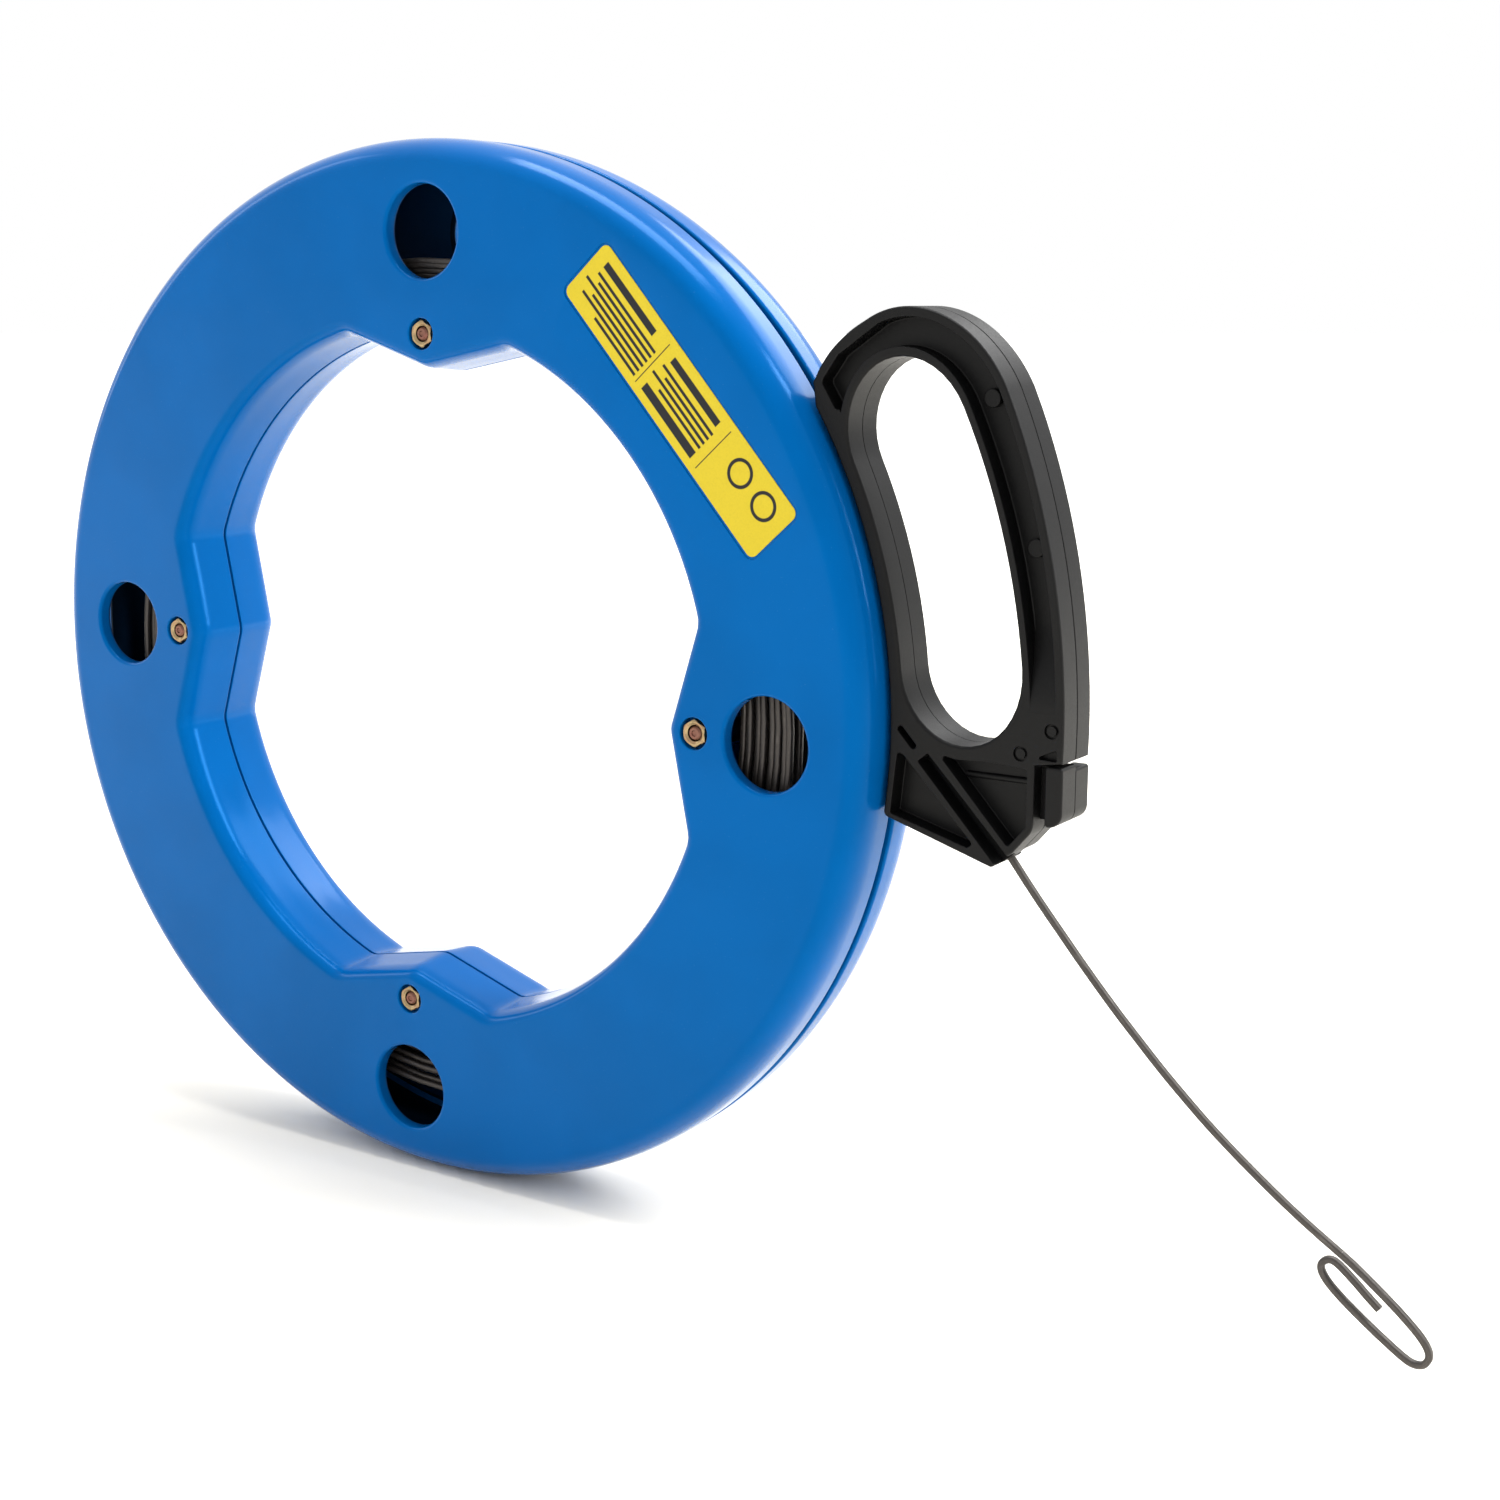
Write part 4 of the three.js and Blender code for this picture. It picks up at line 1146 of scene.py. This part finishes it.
def back_edge(inset, start):
    """The grip's outer edge, from the gap over the parking block over the arch to the tip on the rim."""
    low, high = OPEN_OUTER + BAND - 1.2 - inset, ARCH_RISE + ARCH_RADIUS - inset
    rise = smooth_curve([(start, low), (start * 0.6 + ARCH_ALONG * 0.4, (low * 2 + high) / 3), (ARCH_ALONG, high)], 12)
    return np.vstack([rise[:-1], arc(ARCH_ALONG, ARCH_RISE, ARCH_RADIUS - inset, 88, 9, 28)])


def grip_outline():
    """The whole grip: its outer edge, the tip on the rim, the side along the rim and the body with the nose."""
    heel = LOWER_BODY[0]
    tail = smooth_curve([(95.44, 27.4), (95.9, 20.5), (95.3, 13.6), (93.7, 8.2), (92.0, 4.9)], 5)
    tail = np.vstack([tail, arc(90.6, 5.3, 1.6, -25, -80, 5)])
    rim_side = np.stack([np.linspace(86, heel[0] + 2, 44), np.full(44, GRIP_LIFT)], -1)
    nose = rounded([(0, GRIP_LIFT), *LOWER_BODY, (GRIP_END, 43.4)], (0, 1.6, 1.2, 3.0, 3.5, 0.9, 0), 8)[1:-1]
    return np.vstack([back_edge(0, GRIP_END), tail, rim_side, nose])


def pocket_outline(start, wall):
    """The long pocket: the grip's outline drawn in by the wall, and the opening's let out by it."""
    high = OPEN_END - OPEN_RADIUS
    end = rounded([(90, 30), (93.2, 14.6), (90.4, 6.4), (81.7, 6.4), (90, 30)], (0, 1.5, 1.5, 0.8, 0), 6)[1:-1]
    side = np.stack([np.linspace(high, start, 14)[1:], np.full(13, OPEN_OUTER + wall)], -1)
    return np.vstack([back_edge(wall, start), end, arc(high, OPEN_RISE, OPEN_RADIUS + wall, -50, 90, 24), side])


def sector(case_radius, span, low, high):
    """A piece of a ring about the middle of the case, between two lengths along the rim and two radii."""
    turns = np.degrees(np.linspace(*span, 33) / case_radius)
    return np.vstack([polar(high, turns), polar(low, turns[::-1])])


def ramp(case_radius, side, face, floor):
    """The S-shaped floor at the pocket's lower end: from the face down to the pocket's floor."""
    rings = []
    for along in np.linspace(RAMP[0] - 0.6, RAMP[1], 24):
        share = np.clip((RAMP[1] - along) / (RAMP[1] - RAMP[0]), 0, 1)
        top = floor + (face - 0.04 - floor) * eased(share)
        corners = on_rim([(along, 41.4), (along, 49.6)], case_radius)[[0, 1, 1, 0]]
        levels = (floor - 0.8, floor - 0.8, top, top)
        rings.append([(x, side * level, z) for (x, z), level in zip(corners, levels)])
    return swept_ring(rings)


def parking_block(radius, side, face, seam):
    """The block that the tape's eye is hooked on, and the web that joins it to the grip's body."""
    body_wall, top = on_rim([CHIN_HIGH], radius)[0][0], on_rim([(GRIP_END, OPEN_OUTER + BAND)], radius)[0][1]
    left, right = body_wall + PARK_SLOT, body_wall + PARK_SLOT + PARK_WIDTH
    high, low = top - PARK_GAPS[0 if side < 0 else 1], top - PARK_GAPS[0] - PARK_HEIGHT
    block = rounded([(left, high), (left, low), (right, low), (right, high)], (0.9, 0.9, PARK_CORNER, 0.9), 10)
    web = [(body_wall - 1, low + 1), (left + 1, low + 1), (left + 1, high - 0.8), (body_wall - 1, high - 0.8)]
    return prism(block, slab_rings(face, seam, 0.7, 0.1)), prism(web, [(0, side * PARK_WEB), (0, seam)])


def ridge(x, z, floor):
    """A half-round bar that lies on the floor of the body's long pocket."""
    turn = np.arange(24) * TURN / 24
    y, rise = floor + RIDGE_RADIUS * np.cos(turn), z + RIDGE_RADIUS * np.sin(turn)
    steps = np.linspace(-RIDGE_HALF, RIDGE_HALF, 12)
    return swept_ring([np.stack([np.full(24, x + s), y, rise], -1) for s in steps])


def screw_places(obj, radius, side, face):
    """Adds the bosses in the pockets, and cuts the recesses or ring grooves and the holes of the screws."""
    for along, rise, in_pocket in GRIP_SCREWS:
        x, z = on_rim([(along, rise)], radius)[0]
        if side > 0 and in_pocket:
            add(obj, prism(disc(BOSS_RADIUS, x, z), slab_rings(SCREW_HEAD_BASE, GRIP_FLOOR - 0.5, 0.3)))
        elif side > 0:
            cut(obj, prism(disc(SCREW_RECESS, x, z), sunk_rings(face, SCREW_HEAD_BASE, 0.3)))
        elif in_pocket:
            add(obj, prism(disc(BOSS_TIP, x, z), slab_rings(-BOSS_DEPTH, 0.5 - GRIP_FLOOR, 0.4)))
        else:
            cut(obj, turned([(1.3, face - 1), (2.0, face - 1), (2.0, face + 0.8), (1.3, face + 0.8)], x, z))
        ends = [(0, -1), (0, face + 1)] if side > 0 else [(0, -SCREW_REACH[in_pocket] - 0.3), (0, 1)]
        cut(obj, prism(disc(SCREW_HOLE, x, z), ends))


def tape_channel(tape):
    """A square cutter along the straight run, with room round the tape."""
    direction, _ = tape_line(tape.coil_radius / MM, tape.thickness / MM)
    across = np.array([-direction[1], direction[0]]) * (tape.thickness / MM / 2 + CHANNEL_CLEARANCE[0])
    start, end = (NOSE + direction * reach for reach in CHANNEL_REACH)
    deep = tape.width / MM / 2 + CHANNEL_CLEARANCE[1]
    return prism([start - across, end - across, end + across, start + across], [(0, -deep), (0, deep)])


def grip_half(name, case, grip, side, tape):
    """One half of the grip: its outline as a slab, with the parking block, the finger opening, the pockets
    and their ramp, the feet behind the case's lips, the screws' places and the tape's channel."""
    radius = case.radius / MM
    face, seam, floor = side * grip.thickness / MM / 2, side * GRIP_SEAM / 2, side * GRIP_FLOOR

    def mapped(points):
        return on_rim(points, radius)

    obj = mesh_object(name, *prism(mapped(grip_outline()), slab_rings(face, seam, 0.7, 0.25)))
    for solid in parking_block(radius, side, face, seam):
        add(obj, solid)
    cut(obj, prism(mapped(slot_outline()), [(0, seam - side), *sunk_rings(face, seam, 0.9)[:-1][::-1]]))
    cut(obj, prism(mapped(pocket_outline(RAMP[0], grip.wall / MM)), sunk_rings(face, floor, 0.3, 0.5)))
    for corners, corner_radius, depth in BODY_POCKETS:
        rings = sunk_rings(face, face - side * depth if depth else floor, 0.25, 0.3 if corner_radius > 0.4 else 0)
        cut(obj, prism(rounded(mapped(corners), corner_radius, 6), rings))
    add(obj, ramp(radius, side, abs(face), GRIP_FLOOR))
    add(obj, ridge(*mapped([RIDGE_PLACE])[0], floor))
    outer, neck = radius - SHELL_WALL - FOOT_CLEARANCE, side * (RIM_SLOT / 2 - NECK_CLEARANCE)
    for span in FOOT_SPANS:
        add(obj, prism(sector(radius, span, outer - 1, radius + GRIP_LIFT + 1), [(0, neck), (0, seam)]))
        add(obj, prism(sector(radius, span, outer - FOOT_HEIGHT, outer), slab_rings(side * FOOT_HALF, seam, 0.4)))
    screw_places(obj, radius, side, face)
    cut(obj, tape_channel(tape))
    finish_surface(obj, 32)
    return obj


def grip_plastic(grip):
    """Satin moulded plastic with a fine spark-eroded texture, faint flow marks and paler rubbed spots."""
    sheet = Sheet("grip_plastic_black", IOR=1.48, Specular_IOR_Level=0.19)
    place = sheet.place()
    texture = sheet.noise(place, 2.6, 3.0, 0.6)
    flow = sheet.noise(sheet.about(place, (0, 0, 0), (0.4, 1.0, 1.0)), 0.08, 3.0, 0.55)
    dust = sheet.noise(place, 0.7, 4.0, 0.7)
    base = sheet.mix(flow.rises(0.35, 0.7) * 0.5, colour(grip.plastic), colour(grip.plastic, 1.45))
    base = sheet.mix(dust.rises(0.58, 0.78) * 0.25, base, colour((0.012, 0.0117, 0.011)))
    sheet.feed("Base Color", base)
    sheet.feed("Roughness", 0.33 + texture * 0.16 + dust * 0.08)
    sheet.feed("Normal", sheet.bump(texture, 0.00006, 0.35))
    return sheet


class REEL_OT_grip(bpy.types.Operator):
    """Makes the two halves of the hand grip"""

    bl_idname = "reel.grip"
    bl_label = "Grip"

    def execute(self, context):
        scene = context.scene
        plastic = grip_plastic(scene.reel_grip)
        for name, node, side in (("front_grip", "grip_front_half", -1), ("rear_grip", "grip_rear_half", 1)):
            obj = grip_half(name, scene.reel_case, scene.reel_grip, side, scene.reel_tape)
            wear(obj, node, plastic, "handle")
        return {"FINISHED"}


# ---------------------------------------------------------------- panel and run


OPERATORS = [REEL_OT_stage, REEL_OT_tape, REEL_OT_case, REEL_OT_label, REEL_OT_fasteners, REEL_OT_grip]


class REEL_PT_panel(bpy.types.Panel):
    bl_label = "Fish tape reel"
    bl_idname = "REEL_PT_panel"
    bl_space_type = "VIEW_3D"
    bl_region_type = "UI"
    bl_category = "Reel"

    def draw(self, context):
        for operator in OPERATORS:
            self.layout.operator(operator.bl_idname)


CLASSES = [*SETTINGS.values(), *OPERATORS, REEL_PT_panel]


def register():
    for cls in CLASSES:
        bpy.utils.register_class(cls)
    for name, group in SETTINGS.items():
        setattr(bpy.types.Scene, name, bpy.props.PointerProperty(type=group))


def unregister():
    for name in SETTINGS:
        delattr(bpy.types.Scene, name)
    for cls in reversed(CLASSES):
        bpy.utils.unregister_class(cls)


def main():
    register()
    bpy.ops.reel.stage()
    bpy.ops.reel.tape()
    bpy.ops.reel.case()
    bpy.ops.reel.label()
    bpy.ops.reel.fasteners()
    bpy.ops.reel.grip()
    bpy.context.view_layer.update()


if __name__ == "__main__":
    main()
